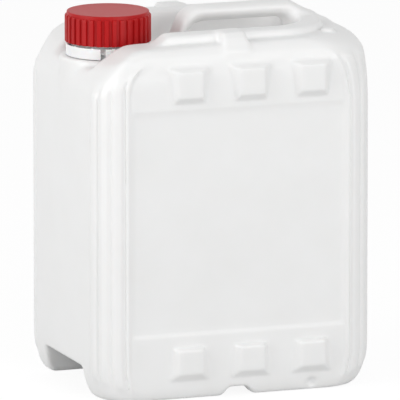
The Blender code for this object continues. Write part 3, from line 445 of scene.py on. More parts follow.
# %% Lugs and studs
LUG_HALF_LENGTH, LUG_ROUND, LUG_JOIN = 0.01075, 0.003, 0.004
LUG_CREST, LUG_LOW = PLATFORM_TOP + 0.002, SHOULDER - 0.0155
STUD_X, STUD_Y, STUD_RADIUS, STUD_PROUD, STUD_ROOT = 0.0888, 0.0625, 0.0058, 0.0022, 0.280
STUD_EDGE, STUD_JOIN = (0.0022, 0.0018), 0.0015


def lug_distance():
    """The lug's side view of Y and Z, stretched along X and rounded at both ends."""
    outline = rounded_outline([(0.062, LUG_LOW, 0), (0.0835, LUG_LOW, 0.001),
                               (0.0897, LUG_LOW + 0.0068, 0.003), (0.0845, LUG_CREST - 0.004, 0.004),
                               (0.079, LUG_CREST, 0.004), (0.062, LUG_CREST, 0)])
    profile = outline_distance(outline, Y[0], Z[0])[None]
    return soft_max(profile, np.abs(X) - LUG_HALF_LENGTH, LUG_ROUND)


def stud_distance():
    """A low cylinder: how far from its axis, less its radius, with its top edge rolled."""
    radius = np.hypot(X - STUD_X, Y - STUD_Y)
    stud = rolled(radius - STUD_RADIUS, Z - SHOULDER - STUD_PROUD, *STUD_EDGE)
    return np.maximum(stud, STUD_ROOT - Z)


solid = soft_min(solid, lug_distance(), LUG_JOIN)
solid = soft_min(solid, stud_distance(), STUD_JOIN)
print("lugs and studs worked out")

# %% Pads and panels
PAD_PROUD, PAD_ROOT, PAD_EDGE, PAD_JOIN = 0.0052, 0.008, 0.0006, 0.0010
PAD_FACE, PAD_NARROW, PAD_WIDE, PAD_SLANT = 0.0107, 0.0138, 0.01785, 1.5
# Middle, which way the wide edge lies, half height, and runs of the wide and the narrow edge's bevels
PAD_ROWS = [(0.2605, 1, 0.01485, 0.0028, 0.0053), (0.02925, -1, 0.0139, 0.0061, 0.0012)]
PAD_CENTRE, PAD_SPACING = 0.0104, 0.0533
PAD_PLACES = [(PAD_CENTRE + index * PAD_SPACING, row) for index in (-1, 0, 1) for row in PAD_ROWS]
PANEL_HALF, PANEL_MIDDLE, PANEL_HALF_HEIGHT = 0.092, 0.1460, 0.0932
PANEL_DEPTH, PANEL_SLANT_LOW, PANEL_SLANT, PANEL_JOIN = 0.0008, 0.0530, 0.0025, 0.0004


def pad_distance(centre, row):
    """A frustum: a trapezium on the wall that narrows to a square face as out goes from 0 to 1."""
    middle, upward, half, wide_bevel, narrow_bevel = row
    out = (Y - BODY_DEPTH / 2) / PAD_PROUD
    up = (Z - middle) * upward
    wide_edge = (up - half + wide_bevel * out) / math.hypot(1, wide_bevel / PAD_PROUD)
    narrow_edge = (-up - half + narrow_bevel * out) / math.hypot(1, narrow_bevel / PAD_PROUD)
    narrow, wide = PAD_NARROW - (PAD_NARROW - PAD_FACE) * out, PAD_WIDE - (PAD_WIDE - PAD_FACE) * out
    reach = narrow + (wide - narrow) * (up + half) / (2 * half)
    sides = soft_max(wide_edge, narrow_edge, PAD_EDGE)
    sides = soft_max(sides, (np.abs(X - centre) - reach) / PAD_SLANT, PAD_EDGE)
    face = soft_max(sides, Y - BODY_DEPTH / 2 - PAD_PROUD, PAD_EDGE)
    return np.maximum(face, BODY_DEPTH / 2 - PAD_ROOT - Y)


def panel_distance():
    """The air over the label panel: a flat box, whose floor rises in a short slant at the lower edge."""
    frame_gap = np.maximum(np.abs(X) - PANEL_HALF, np.abs(Z - PANEL_MIDDLE) - PANEL_HALF_HEIGHT)
    depth = PANEL_DEPTH * np.clip((Z - PANEL_SLANT_LOW) / PANEL_SLANT, 0, 1)
    return np.maximum(frame_gap, BODY_DEPTH / 2 - depth - Y)


solid = soft_max(solid, -panel_distance(), PANEL_JOIN)
for pad in PAD_PLACES:
    solid = soft_min(solid, pad_distance(*pad), PAD_JOIN)
print("pads:", 2 * len(PAD_PLACES), "and panels worked out")

# %% [markdown]
# Flat ribs run down the four corners and stiffen them: three broad ones and, next to the wide face,
# a narrow one. Each rib is an oval rod whose middle line follows the wall at a fixed turn of the
# corner and sinks into it at both ends. At the neck end the line also follows the slope's rolled rim.

# %% Corner ribs
FLUTE_TURNS = (16.5, 41.5, 66, 83.5)
FLUTE_HALF_WIDTHS = (0.0046, 0.0046, 0.0046, 0.0018)
FLUTE_HALF_DEPTH, FLUTE_PROUD, FLUTE_SINK, FLUTE_JOIN = 0.0022, 0.0009, 0.0010, 0.0010
FLUTE_LOW, FLUTE_LOWER, FLUTE_HIGH, FLUTE_DROP = 0.014, 0.003, 0.282, 0.003
FLUTE_LOW_FADE, FLUTE_HIGH_FADE = 0.008, 0.006
CORNERS_START = 0.076


def flute_distance(index, end, x, y, z):
    """Distance to the rod: the fourth root of (out^4 + along^4), less one, times the half depth.

    out and along are how far a point is from the middle line, in the oval's two half sizes. The
    result goes over the line's slant.
    """
    angle = math.radians(FLUTE_TURNS[index])
    neck_end, grip_end, side, neck_radius, grip_radius = section(z)
    radius = grip_radius if end > 0 else neck_radius
    low, high = FLUTE_LOW - index * FLUTE_LOWER, FLUTE_HIGH
    reach = radius + FLUTE_PROUD - FLUTE_HALF_DEPTH
    share = 0
    if end < 0:
        slope = STEEP_SLOPE[1] + CORNER_RADIUS * (1 - math.cos(angle)) * math.tan(STEEP_SLOPE[0])
        high = slope - FLUTE_DROP
        share = drawn_in(np.maximum(slope - z, 0), 1, RIM_RISE)
    fade = (np.clip((low + FLUTE_LOW_FADE - z) / FLUTE_LOW_FADE, 0, 1) ** 2
            + np.clip((z - high + FLUTE_HIGH_FADE) / FLUTE_HIGH_FADE, 0, 1) ** 2)
    reach = reach - fade * (FLUTE_PROUD + FLUTE_SINK)
    wall_end = grip_end if end > 0 else neck_end
    line_x = end * (wall_end - radius + reach * math.cos(angle) - RIM_END_RUN * share)
    line_y = side - radius + reach * math.sin(angle) - RIM_SIDE_RUN * share
    slant = np.hypot(np.gradient(line_x, z), np.gradient(line_y, z))
    from_x, from_y = end * (x - line_x), y - line_y
    out = (from_x * math.cos(angle) + from_y * math.sin(angle)) / FLUTE_HALF_DEPTH
    along = (from_y * math.cos(angle) - from_x * math.sin(angle)) / FLUTE_HALF_WIDTHS[index]
    rod = ((out ** 4 + along ** 4) ** (1 / 4) - 1) * FLUTE_HALF_DEPTH / np.hypot(1, slant)
    return np.maximum(rod, np.maximum(low - z, z - high))


for end in (1, -1):
    near = np.nonzero(end * grid_x > CORNERS_START)[0]
    block = solid[near[0]:near[-1] + 1]
    for index in range(len(FLUTE_TURNS)):
        rod = flute_distance(index, end, X[near], Y, grid_z)
        block[:] = soft_min(block, rod, FLUTE_JOIN)
print("ribs worked out:", 4 * len(FLUTE_TURNS))

# %% [markdown]
# Underneath, a channel takes the cap and the handle of the can below and gives the pouring hand a
# hold. A shallow recess beside it takes the rails, and notches in the foot take the lugs.

# %% Recesses under the base
CHANNEL_START, CHANNEL_END, CHANNEL_HALF, CHANNEL_CORNER = -0.130, 0.088, 0.0455, 0.012
CHANNEL_ROOF, CHANNEL_FLARE, CHANNEL_ROUND, CHANNEL_JOIN = 0.0235, 0.0035, 0.004, 0.003
RAIL_RECESS = (0.009, 0.079, 0.075, 0.012)
RAIL_RECESS_ROOF, RAIL_RECESS_ROUND = 0.007, 0.002
NOTCH_WIDE, NOTCH_NARROW, NOTCH_ROOF, NOTCH_INNER = 0.014, 0.0075, 0.0075, 0.071
NOTCH_SLANT, NOTCH_ROUND = 1.32, 0.002
POCKET_X, POCKET_Y, POCKET_Z, POCKET_RADIUS = 0.0643, 0.0945, 0.0055, 0.006
RECESS_JOIN, POCKET_JOIN = 0.0015, 0.001


def channel_distance():
    """The channel's air: open at the neck end, wider at the mouth, with a rounded roof."""
    outline = rounded_outline([(CHANNEL_END, CHANNEL_HALF, CHANNEL_CORNER),
                               (CHANNEL_START, CHANNEL_HALF, 0), (CHANNEL_START, -CHANNEL_HALF, 0),
                               (CHANNEL_END, -CHANNEL_HALF, CHANNEL_CORNER)])
    plan = outline_distance(outline, X[:, :, 0], Y[:, :, 0])[:, :, None]
    flare = CHANNEL_FLARE * np.clip((CHANNEL_ROOF - CHANNEL_ROUND - Z) / CHANNEL_ROOF, 0, 1)
    return rolled(plan - flare, Z - CHANNEL_ROOF, CHANNEL_ROUND, CHANNEL_ROUND)


def rail_recess_distance():
    """A shallow rounded box for both rails, given by its middle, half sizes and corner radius."""
    middle, half_x, half_y, corner = RAIL_RECESS
    plan = box_distance(X - middle, Y, half_x, half_y, corner)
    return rolled(plan, Z - RAIL_RECESS_ROOF, RAIL_RECESS_ROUND, RAIL_RECESS_ROUND)


def notch_distance():
    """A notch in the foot's edge: its half width falls evenly with height, over the slant of its sides."""
    width = NOTCH_WIDE - (NOTCH_WIDE - NOTCH_NARROW) * Z / NOTCH_ROOF
    sides = (np.abs(X) - width) / NOTCH_SLANT
    return np.maximum(soft_max(sides, Z - NOTCH_ROOF, NOTCH_ROUND), NOTCH_INNER - Y)


def pocket_distance():
    """A small dent in the foot: how far from its centre, less its radius."""
    away = np.sqrt((X - POCKET_X) ** 2 + (Y - POCKET_Y) ** 2 + (Z - POCKET_Z) ** 2)
    return away - POCKET_RADIUS


solid = soft_max(solid, -channel_distance(), CHANNEL_JOIN)
solid = soft_max(solid, -rail_recess_distance(), RECESS_JOIN)
solid = soft_max(solid, -notch_distance(), RECESS_JOIN)
solid = soft_max(solid, -pocket_distance(), POCKET_JOIN)
print("recesses worked out")

# %% [markdown]
# The handle is blown with the rest. Seen from the front it is a bridge: a leaning leg behind the
# neck, a straight bar, and a ramp that runs down to the end of the can. The opening for the fingers
# is narrowest in the middle plane and flares to both sides.

# %% Handle
HANDLE_TOP, HANDLE_HALF, HANDLE_CROWN = 0.3105, 0.0125, 0.005
LEG_X, LEG_LEAN = -0.0352, math.tan(math.radians(23))
RAMP_X, HANDLE_FOOT = 0.1175, VALLEY_FLOOR - 0.006
GRIP_START, GRIP_END, GRIP_END_LEAN = -0.020, 0.0695, math.tan(math.radians(18))
GRIP_TOP, GRIP_LOWER, GRIP_FLARE = 0.296, 0.012, 0.0065
GRIP_JOIN, HANDLE_JOIN = 0.004, 0.006


def handle_distance():
    """The bridge's outline with its sides rounded as an ellipse, less the opening, which flares with Y."""
    leg_top = LEG_X + (HANDLE_TOP - HANDLE_FOOT) * LEG_LEAN
    bridge = rounded_outline([(LEG_X, HANDLE_FOOT, 0), (RAMP_X, HANDLE_FOOT, 0), (RAMP_X, 0.278, 0),
                              (0.109, 0.292, 0.012), (0.0772, HANDLE_TOP, 0.016),
                              (leg_top, HANDLE_TOP, 0.020)])
    bridge = outline_distance(bridge, X[:, 0], Z[0])[:, None, :]
    bridge = rolled(Y - HANDLE_HALF, bridge, HANDLE_HALF, HANDLE_CROWN)
    grip_low = HANDLE_FOOT - GRIP_LOWER
    grip = rounded_outline([(GRIP_START - GRIP_LOWER * LEG_LEAN, grip_low, 0),
                            (GRIP_END + (GRIP_TOP - grip_low) * GRIP_END_LEAN, grip_low, 0),
                            (GRIP_END, GRIP_TOP, 0.005),
                            (GRIP_START + (GRIP_TOP - HANDLE_FOOT) * LEG_LEAN, GRIP_TOP, 0.011)])
    grip = outline_distance(grip, X[:, 0], Z[0])[:, None, :]
    grip = (grip - GRIP_FLARE * Y / HANDLE_HALF) / math.hypot(1, GRIP_FLARE / HANDLE_HALF)
    return soft_max(bridge, -grip, GRIP_JOIN)


solid = soft_min(solid, handle_distance(), HANDLE_JOIN)
print("handle worked out")

# %% [markdown]
# The neck stands on a round collar. The collar belongs to the blown shell and gets its soft foot in
# the same way.

# %% Collar
NECK_X, COLLAR_RADIUS, COLLAR_TOP = -0.0805, 0.0398, 0.274
COLLAR_ROOT, COLLAR_EDGE, COLLAR_JOIN = 0.244, 0.0014, 0.002


def collar_distance():
    """A disc round the neck's axis with its top edge rolled, down to its root inside the body."""
    radius = np.hypot(X - NECK_X, Y)
    disc = rolled(radius - COLLAR_RADIUS, Z - COLLAR_TOP, COLLAR_EDGE, COLLAR_EDGE)
    return np.maximum(disc, COLLAR_ROOT - Z)


solid = soft_min(solid, collar_distance(), COLLAR_JOIN)
print("collar worked out")

# %% [markdown]
# A surface net turns the distances into a mesh. Wherever a line of the grid passes through the wall
# there is a crossing. Each cell of the grid that has crossings gets one vertex, at their average, and
# the four cells round each crossing are joined by a face. The result is closed, its faces are nearly
# square, and soft forms stay soft.

# %% Surface net


def surface_net(axes, field):
    """Vertices and faces, facing out, of the surface where the field passes through zero.

    On a grid line the crossing lies at here / (here - there) of the step, and a cell's vertex is the
    average of its crossings.
    """
    cells = tuple(size - 1 for size in field.shape)
    count = np.zeros(np.prod(cells))
    total = np.zeros((3, np.prod(cells)))
    corners, outward = [], []
    for axis in range(3):
        low, high = [slice(None)] * 3, [slice(None)] * 3
        low[axis], high[axis] = slice(None, -1), slice(1, None)
        first, second = field[tuple(low)], field[tuple(high)]
        place = np.array(np.nonzero((first < 0) != (second < 0)))
        here, there = first[tuple(place)], second[tuple(place)]
        point = np.array([axes[row][place[row]] for row in range(3)])
        point[axis] += here / (here - there) * (axes[axis][place[axis] + 1] - point[axis])
        second_axis, third_axis = (axis + 1) % 3, (axis + 2) % 3
        ring = []
        for back_second, back_third in ((0, 0), (1, 0), (1, 1), (0, 1)):
            cell = place.copy()
            cell[second_axis] -= back_second
            cell[third_axis] -= back_third
            ring.append(np.ravel_multi_index(cell, cells))
            count += np.bincount(ring[-1], minlength=len(count))
            for row in range(3):
                total[row] += np.bincount(ring[-1], weights=point[row], minlength=len(count))
        corners.append(np.array(ring).T)
        outward.append(here < 0)
    used = count > 0
    vertices = (total[:, used] / count[used]).T
    faces = (np.cumsum(used) - 1)[np.concatenate(corners)]
    turned_round = ~np.concatenate(outward)
    faces[turned_round] = faces[turned_round][:, ::-1]
    return vertices, faces


def add_mesh(name, vertices, faces):
    """A mesh object from an array of points and an array of faces with equally many corners."""
    faces = np.asarray(faces, dtype=np.int32)
    mesh = bpy.data.meshes.new(name)
    mesh.vertices.add(len(vertices))
    mesh.vertices.foreach_set("co", np.asarray(vertices, dtype=np.float32).ravel())
    mesh.loops.add(faces.size)
    mesh.loops.foreach_set("vertex_index", faces.ravel())
    mesh.polygons.add(len(faces))
    mesh.polygons.foreach_set("loop_start", np.arange(0, faces.size, faces.shape[1], dtype=np.int32))
    mesh.update(calc_edges=True)
    mesh.validate()
    thing = bpy.data.objects.new(name, mesh)
    bpy.context.scene.collection.objects.link(thing)
    return thing


def mirrored(half):
    """The field of the whole can, from the half on the +Y side."""
    return np.concatenate((half[:, ::-1], half), axis=1)


def smooth_by_angle(thing, degrees):
    """Smooth shading, except over edges that bend by more than the angle."""
    thing.data.shade_smooth()
    thing.data.set_sharp_from_angle(angle=math.radians(degrees))


whole = mirrored(solid)
vertices, faces = surface_net((grid_x, grid_y, grid_z), whole)
can = add_mesh("can_shell", vertices, faces)
print("outer skin:", len(vertices), "vertices,", 2 * len(faces), "triangles")

# %% [markdown]
# The neck is turned: a profile of radius and height goes once round the neck's axis. The thread is a
# ridge that climbs round it. Both are moulded crisply, because the cap has to seal on them.

# %% Turned shapes and threads
AROUND = 128


def about_neck(radius, turn, height):
    """Points at (radius cos turn, radius sin turn, height) about the neck's axis."""
    point = (NECK_X + radius * np.cos(turn), radius * np.sin(turn), height)
    return np.stack(np.broadcast_arrays(*point), axis=-1).reshape(-1, 3)


def grid_faces(rows, columns, rows_close=False, columns_close=True):
    """The faces between a grid's points. Its rows and its columns may close up into a ring."""
    row, column = np.meshgrid(np.arange(rows - (not rows_close)), np.arange(columns - (not columns_close)),
                              indexing="ij")
    below, beside = (row + 1) % rows * columns, (column + 1) % columns
    row = row * columns
    return np.stack((row + column, below + column, below + beside, row + beside), axis=-1).reshape(-1, 4)


def turned(profile, steps=AROUND, wave=None):
    """A profile that runs down the outer side, carried once round the axis.

    wave(radius, turn) may change the radius with the turn.
    """
    profile = np.array(profile, dtype=float)
    turns = np.linspace(0, 2 * math.pi, steps, endpoint=False)
    radius = wave(profile[:, :1], turns) if wave else profile[:, :1]
    return about_neck(radius, turns, profile[:, 1:]), grid_faces(len(profile), steps)


def arc(centre, radius, start, end, steps=6):
    """Points of a profile's rounded edge: centre + radius (cos, sin), between two angles in degrees."""
    angles = np.radians(np.linspace(start, end, steps + 1))
    return [(centre[0] + radius * math.cos(angle), centre[1] + radius * math.sin(angle))
            for angle in angles]


print("turned shapes go round in", AROUND, "steps")

# %% Neck, lip and thread
NECK_RADIUS, BORE_RADIUS, LIP, LIP_EDGE = 0.0279, 0.0255, 0.3025, 0.0008
BEAD_RADIUS, NECK_FILLET, NECK_ROOT = 0.0312, 0.0012, COLLAR_TOP - 0.006
THREAD_PITCH, THREAD_START, THREAD_TURNS, THREAD_HEIGHT = 0.006, 0.288, 1.9, 0.002
THREAD_SWELL, THREAD_ROOT = 0.12, 0.0004
THREAD_ACROSS = np.array([-1.4, -0.95, -0.6, 0.6, 0.95, 1.4]) / 1000
THREAD_CREST = np.array([0, 0.72, 1, 1, 0.72, 0])


def neck_profile():
    """Down the outside: lip, thread ground, sealing bead, and a foot that ends inside the collar."""
    return [(0, LIP), (BORE_RADIUS + 0.0004, LIP),
            *arc((NECK_RADIUS - LIP_EDGE, LIP - LIP_EDGE), LIP_EDGE, 90, 0),
            (NECK_RADIUS, 0.2839), (BEAD_RADIUS - 0.0006, 0.2812),
            *arc((BEAD_RADIUS - 0.0005, 0.2804), 0.0005, 60, 0, 3),
            *arc((BEAD_RADIUS - 0.0003, 0.2785), 0.0003, 0, -90, 2),
            (NECK_RADIUS + 0.0004, 0.2782), (NECK_RADIUS, 0.2778), (NECK_RADIUS, COLLAR_TOP + NECK_FILLET),
            *arc((NECK_RADIUS + NECK_FILLET, COLLAR_TOP + NECK_FILLET), NECK_FILLET, 180, 270, 4)[1:],
            (NECK_RADIUS + NECK_FILLET, NECK_ROOT), (0, NECK_ROOT)]


def thread_ridge(steps=220):
    """A rounded trapezium carried up a helix: height = start + pitch x turn.

    Its crest swells from nothing at one end and fades to nothing at the other.
    """
    turn = np.linspace(0, THREAD_TURNS, steps)
    swell = np.clip(np.minimum(turn, THREAD_TURNS - turn) / THREAD_SWELL, 0.03, 1) ** 0.6
    radius = NECK_RADIUS - THREAD_ROOT + (THREAD_HEIGHT + THREAD_ROOT) * swell[:, None] * THREAD_CREST
    height = THREAD_START + THREAD_PITCH * turn[:, None] + THREAD_ACROSS
    points = about_neck(radius, (2 * math.pi * turn)[:, None], height)
    sides = len(THREAD_ACROSS)
    start_cap = np.array([(0, 1, 4, 5), (1, 2, 3, 4)])
    end_cap = (steps - 1) * sides + np.array([(5, 4, 1, 0), (4, 3, 2, 1)])
    return points, np.concatenate((grid_faces(steps, sides), start_cap, end_cap))


def close_poles(thing):
    """Merges each ring of points on the axis into one and points every face out."""
    shape = bmesh.new()
    shape.from_mesh(thing.data)
    bmesh.ops.remove_doubles(shape, verts=shape.verts, dist=0.00002)
    bmesh.ops.recalc_face_normals(shape, faces=shape.faces)
    shape.to_mesh(thing.data)
    shape.free()


neck = add_mesh("neck_tool", *turned(neck_profile()))
close_poles(neck)
thread = add_mesh("thread_tool", *thread_ridge())
close_poles(thread)
print("neck and thread:", len(neck.data.polygons), len(thread.data.polygons), "faces")

# %% [markdown]
# The can is hollow. Its inner skin is the same field of distances, one wall further in, netted on a
# coarser grid. The bore goes down through the neck into it, so that anyone who lifts the cap looks
# into the can.

# %% Inside
WALL, COARSER, SHARP_BEND = 0.0026, 3, 42
BORE_HIGH, BORE_LOW = LIP + 0.004, 0.262
coarse = [axis[::COARSER] for axis in (grid_x, grid_y, grid_z)]
inner_vertices, inner_faces = surface_net(coarse, whole[::COARSER, ::COARSER, ::COARSER] + WALL)
inside = add_mesh("inside_tool", inner_vertices, inner_faces)
bore = add_mesh("bore_tool", *turned([(0, BORE_HIGH), (BORE_RADIUS, BORE_HIGH), (BORE_RADIUS, BORE_LOW),
                                      (0, BORE_LOW)]))
close_poles(bore)


def combine(target, operand, operation):
    """Joins or cuts two closed meshes and keeps the result as the target's mesh."""
    modifier = target.modifiers.new(operand.name, "BOOLEAN")
    modifier.operation = operation
    modifier.solver = "MANIFOLD"
    modifier.object = operand
    graph = bpy.context.evaluated_depsgraph_get()
    mesh = bpy.data.meshes.new_from_object(target.evaluated_get(graph))
    target.modifiers.clear()
    target.data = mesh
    mesh.name = target.name


combine(neck, thread, "UNION")
combine(can, neck, "UNION")
combine(can, inside, "DIFFERENCE")
combine(can, bore, "DIFFERENCE")
for tool in (neck, thread, inside, bore):
    bpy.data.objects.remove(tool)
smooth_by_angle(can, SHARP_BEND)
can.data.calc_loop_triangles()
print("whole can:", len(can.data.loop_triangles), "triangles")

# %% [markdown]
# The red cap is injection moulded PP. Thirty-four grooves give the hand a grip: the wall's radius
# falls and rises with the turn, and the grooves run out under a plain band at the top.

# %% Outer cap
CAP_TOP, CAP_LOW = 0.3105, 0.2855
CAP_RADIUS, SHELL_RADIUS, CAP_BORE = 0.0355, 0.0339, 0.0327
CAP_RIM, CAP_ROOF, BAND_LOW = 0.0008, CAP_TOP - 0.0016, CAP_TOP - 0.0037
RIBS, STEPS_PER_RIB = 34, 20
GROOVE_HALF, GROOVE_EDGE = 0.0013, 0.00045
CAP_SHARP_BEND = 38


def cap_wave(radius, turn):
    """Where the profile lies outside the shell, a groove takes it back to the shell's radius.

    depth = share^2 (3 - 2 share) is 1 at a groove's middle and 0 on a rib, with a short ramp between.
    """
    pitch = 2 * math.pi / RIBS
    from_middle = np.abs((turn / pitch + 0.5) % 1 - 0.5) * pitch * CAP_RADIUS
    share = np.clip((GROOVE_HALF + GROOVE_EDGE / 2 - from_middle) / GROOVE_EDGE, 0, 1)
    depth = share ** 2 * (3 - 2 * share)
    return np.where(radius > SHELL_RADIUS, radius - (radius - SHELL_RADIUS) * depth, radius)


def cap_profile():
    """Top with a slight dish, rounded rim, band, ribs with rounded ends, then up the inside to the axis."""
    return [(0, CAP_TOP - 0.0003), (0.012, CAP_TOP - 0.00028), (0.024, CAP_TOP - 0.0002),
            (SHELL_RADIUS - 0.004, CAP_TOP - 0.00005), (SHELL_RADIUS - 0.002, CAP_TOP),
            *arc((SHELL_RADIUS - CAP_RIM, CAP_TOP - CAP_RIM), CAP_RIM, 90, 0),
            (SHELL_RADIUS, BAND_LOW + 0.0012), (SHELL_RADIUS + 0.00002, BAND_LOW + 0.0009),
            *arc((SHELL_RADIUS + 0.0002, BAND_LOW - 0.0005), 0.0014, 80, 0, 7),
            (CAP_RADIUS, BAND_LOW - 0.004), (CAP_RADIUS, CAP_LOW + 0.008), (CAP_RADIUS, CAP_LOW + 0.0005),
            *arc((CAP_RADIUS - 0.0004, CAP_LOW + 0.0004), 0.0004, 0, -90, 3),
            (CAP_BORE + 0.0004, CAP_LOW), (CAP_BORE - 0.0003, CAP_LOW + 0.0004),
            (CAP_BORE - 0.00075, CAP_LOW + 0.0008), (CAP_BORE - 0.00075, CAP_LOW + 0.0014),
            (CAP_BORE, CAP_LOW + 0.0018), (CAP_BORE, CAP_ROOF - 0.001),
            *arc((CAP_BORE - 0.001, CAP_ROOF - 0.001), 0.001, 0, 90, 3), (0.015, CAP_ROOF), (0, CAP_ROOF)]


outer_cap = add_mesh("ribbed_cap", *turned(cap_profile(), RIBS * STEPS_PER_RIB, wave=cap_wave))
close_poles(outer_cap)
smooth_by_angle(outer_cap, CAP_SHARP_BEND)
print("ribbed cap:", len(outer_cap.data.polygons), "faces")

# %% [markdown]
# The tamper ring is what stays on the neck when the cap is first opened. It is a thin white band with
# one slot, and the stubs of its broken bridges stand on its rim.

# %% Tamper ring
RING_RADIUS, RING_WALL, RING_LOW, RING_HIGH = 0.0345, 0.0013, 0.2746, 0.2836
SLOT_TURN, SLOT_WIDTH = math.radians(243.6), 0.0042
BRIDGES, BRIDGE_WIDTH, BRIDGE_RISE, BRIDGE_RAMP, BRIDGE_ROOT = 12, 0.0020, 0.0005, 0.004, 0.2830
RING_STEPS, RING_EDGE, HOOK_RADIUS = 145, 0.0002, NECK_RADIUS + 0.0007
RING_SHARP_BEND = 35


def ring_profile():
    """Down the outer side, round the inward hook under the neck's bead, and up the inner side."""
    inner, edge, hook = RING_RADIUS - RING_WALL, RING_EDGE, HOOK_RADIUS
    return [*arc((RING_RADIUS - edge, RING_HIGH - edge), edge, 90, 0, 3), (RING_RADIUS, 0.2812),
            (RING_RADIUS, 0.2768), *arc((RING_RADIUS - edge, RING_LOW + edge), edge, 0, -90, 3),
            (inner, RING_LOW), (hook + 0.0003, 0.2752), (hook, 0.2756), (hook, 0.2772),
            (inner - 0.0003, 0.2779), (inner, 0.2784), (inner, RING_HIGH - edge), (inner + edge, RING_HIGH)]


def tamper_ring():
    """The profile goes round from one side of the slot to the other. Bridge stubs lift its top edge."""
    profile = np.array(ring_profile())
    half_slot = SLOT_WIDTH / 2 / RING_RADIUS
    pitch = 2 * math.pi / BRIDGES
    edges = SLOT_TURN + (np.arange(BRIDGES) + 0.5) * pitch
    half = BRIDGE_WIDTH / 2 / RING_RADIUS
    first, last = SLOT_TURN + half_slot, SLOT_TURN + 2 * math.pi - half_slot
    shifts = (-half - BRIDGE_RAMP, -half, half, half + BRIDGE_RAMP)
    ramps = [edges + shift for shift in shifts]
    turns = np.unique(np.concatenate([np.linspace(first, last, RING_STEPS), *ramps]))
    from_stub = np.abs((turns - SLOT_TURN) / pitch % 1 - 0.5) * pitch
    lift = BRIDGE_RISE * (from_stub < half + BRIDGE_RAMP / 4)
    height = profile[:, 1:] + np.where(profile[:, 1:] > BRIDGE_ROOT, lift, 0)
    points = about_neck(profile[:, :1], turns, height)
    around, sides = len(turns), len(profile)
    faces = grid_faces(sides, around, rows_close=True, columns_close=False)
    first_end = np.arange(sides) * around
    last_end = (first_end + around - 1)[::-1]
    mesh = bpy.data.meshes.new("tamper_band")
    mesh.from_pydata(points.tolist(), [], [*faces.tolist(), first_end.tolist(), last_end.tolist()])
    thing = bpy.data.objects.new("tamper_band", mesh)
    bpy.context.scene.collection.objects.link(thing)
    close_poles(thing)
    smooth_by_angle(thing, RING_SHARP_BEND)
    return thing


ring = tamper_ring()
print("tamper ring:", len(ring.data.polygons), "faces")

# %% [markdown]
# Natural HDPE is milky, so light goes a few millimetres into it and softens its shadows. Its skin
# copies the mould, which was blasted with grit: it is satin with a very fine grain. The wall's uneven
# thickness shows as faint clouds of 45 mm, and its shrinkage as waves of 22 mm. The grit's grain of
# about 0.3 mm is too fine for the picture and is drawn at 0.71 mm.

# %% Blow-moulded HDPE


def scale_of(millimetres):
    """A noise's scale for spots of that size: 1000 / millimetres, kept to two digits."""
    return float(f"{1000 / millimetres:.2g}")


def noise(material, place, millimetres, **values):
    """A noise with spots of that size, from 0 to 1."""
    return add_node(material, "ShaderNodeTexNoise", inputs={"Scale": scale_of(millimetres), **values},
                    links={"Vector": place}).outputs["Fac"]


def bump(material, height, strength, distance, under=()):
    """A pattern as relief: distance is its height in metres. It may lie on another relief, under."""
    return add_node(material, "ShaderNodeBump", inputs={"Strength": strength, "Distance": distance},
                    links={"Height": height, **dict(under)}).outputs["Normal"]


def tint_and_gloss(material, shader, share, colours, gloss):
    """The share mixes two colours, first + (second - first) x share, and two roughnesses alike."""
    tint = add_node(material, "ShaderNodeMix", {"data_type": "RGBA"},
                    {6: linear(colours[0]), 7: linear(colours[1])}, {0: share})
    rough = add_node(material, "ShaderNodeMapRange", (), {3: gloss[0], 4: gloss[1]}, {0: share})
    material.node_tree.links.new(tint.outputs[2], shader.inputs["Base Color"])
    material.node_tree.links.new(rough.outputs[0], shader.inputs["Roughness"])


def blown_hdpe():
    """Clouds drive tint and gloss, and grain and waves are laid one over the other as bumps."""
    material, shader, place = new_material("natural HDPE, blow moulded")
    clouds = noise(material, place, 45, Detail=3, Roughness=0.5)
    grain = noise(material, place, 0.71, Detail=2, Roughness=0.6)
    waves = noise(material, place, 22, Detail=1)
    tint_and_gloss(material, shader, clouds, ("#EDEDEC", "#F3F3F3"), (0.36, 0.46))
    fine = bump(material, grain, 0.12, 0.00012)
    soft = bump(material, waves, 0.15, 0.0006, {"Normal": fine})
    material.node_tree.links.new(soft, shader.inputs["Normal"])
    shader.inputs["IOR"].default_value = 1.54
    shader.inputs["Subsurface Weight"].default_value = 0.12
    shader.inputs["Subsurface Radius"].default_value = (1.0, 0.9, 0.85)
    shader.inputs["Subsurface Scale"].default_value = 0.004
    return material


hdpe = blown_hdpe()
print(hdpe.name)

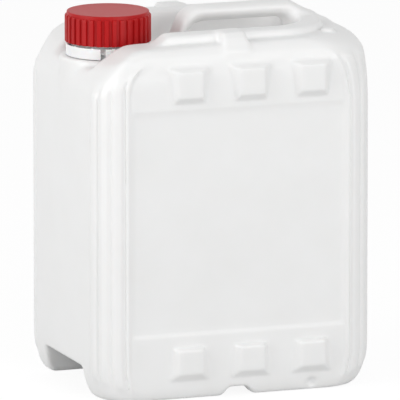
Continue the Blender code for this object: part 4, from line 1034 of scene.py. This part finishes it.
# %% [markdown]
# Polypropylene from a polished mould is glossier and has sharper colour. The pigment is stirred into
# the melt and leaves faint flow marks, about 17 mm apart. The ribbed cap is a dull red, the ring a
# bright white, and the sealing disc is sliced from a block of foam and hardly shines. Their
# skin is far finer than a pixel and is drawn at 0.55 mm.

# %% Injection-moulded polypropylene and foam


def moulded(name, dark, light, rough, grain_strength, scatter=0.0, specular=0.5):
    """Coloured plastic: two near shades mixed by slow flow marks, and a fine skin as a bump."""
    material, shader, place = new_material(name)
    flow = noise(material, place, 16.7, Detail=3, Distortion=0.6)
    grain = noise(material, place, 0.55, Detail=2)
    tint_and_gloss(material, shader, flow, (dark, light), (rough - 0.03, rough + 0.04))
    skin = bump(material, grain, grain_strength, 0.0001)
    material.node_tree.links.new(skin, shader.inputs["Normal"])
    shader.inputs["IOR"].default_value = 1.49
    shader.inputs["Specular IOR Level"].default_value = specular
    shader.inputs["Subsurface Weight"].default_value = scatter
    shader.inputs["Subsurface Scale"].default_value = 0.002
    return material


print("scales:", [scale_of(size) for size in (45, 22, 0.71, 16.7, 0.55)])
red_pp = moulded("red PP, injection moulded", "#AA0D10", "#B61114", 0.42, 0.10, specular=0.25)
white_pp = moulded("white PP, injection moulded", "#EEEEEE", "#F4F4F4", 0.30, 0.08, 0.08)
foam = moulded("white PE foam, sliced", "#E6E6E2", "#EEEEEA", 0.80, 0.60)
print(red_pp.name, "and", white_pp.name)

# %% [markdown]
# Each new piece takes the place of its CAD node and rides on the same body. The inner cap and the
# sealing disc keep their CAD shapes and only get their plastics.

# %% Dressing the frame


def dress(piece, node, body, material):
    """Gives a piece its material, lets it stand in for its node, and hangs it on its body."""
    piece.data.materials.clear()
    piece.data.materials.append(material)
    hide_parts(node)
    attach(piece, body)


dress(can, "container", "container", hdpe)
dress(outer_cap, "outer_cap", "outer_cap", red_pp)
dress(ring, "tamper_ring", "tamper_ring", white_pp)
for node, material in (("inner_cap", white_pp), ("sealing_disc", foam)):
    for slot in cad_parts[node].material_slots:
        slot.material = material
print("pieces dressed: 3, CAD nodes kept: 2")

# %% View transform and end
bpy.context.scene.view_settings.view_transform = "Standard"
bpy.context.view_layer.update()
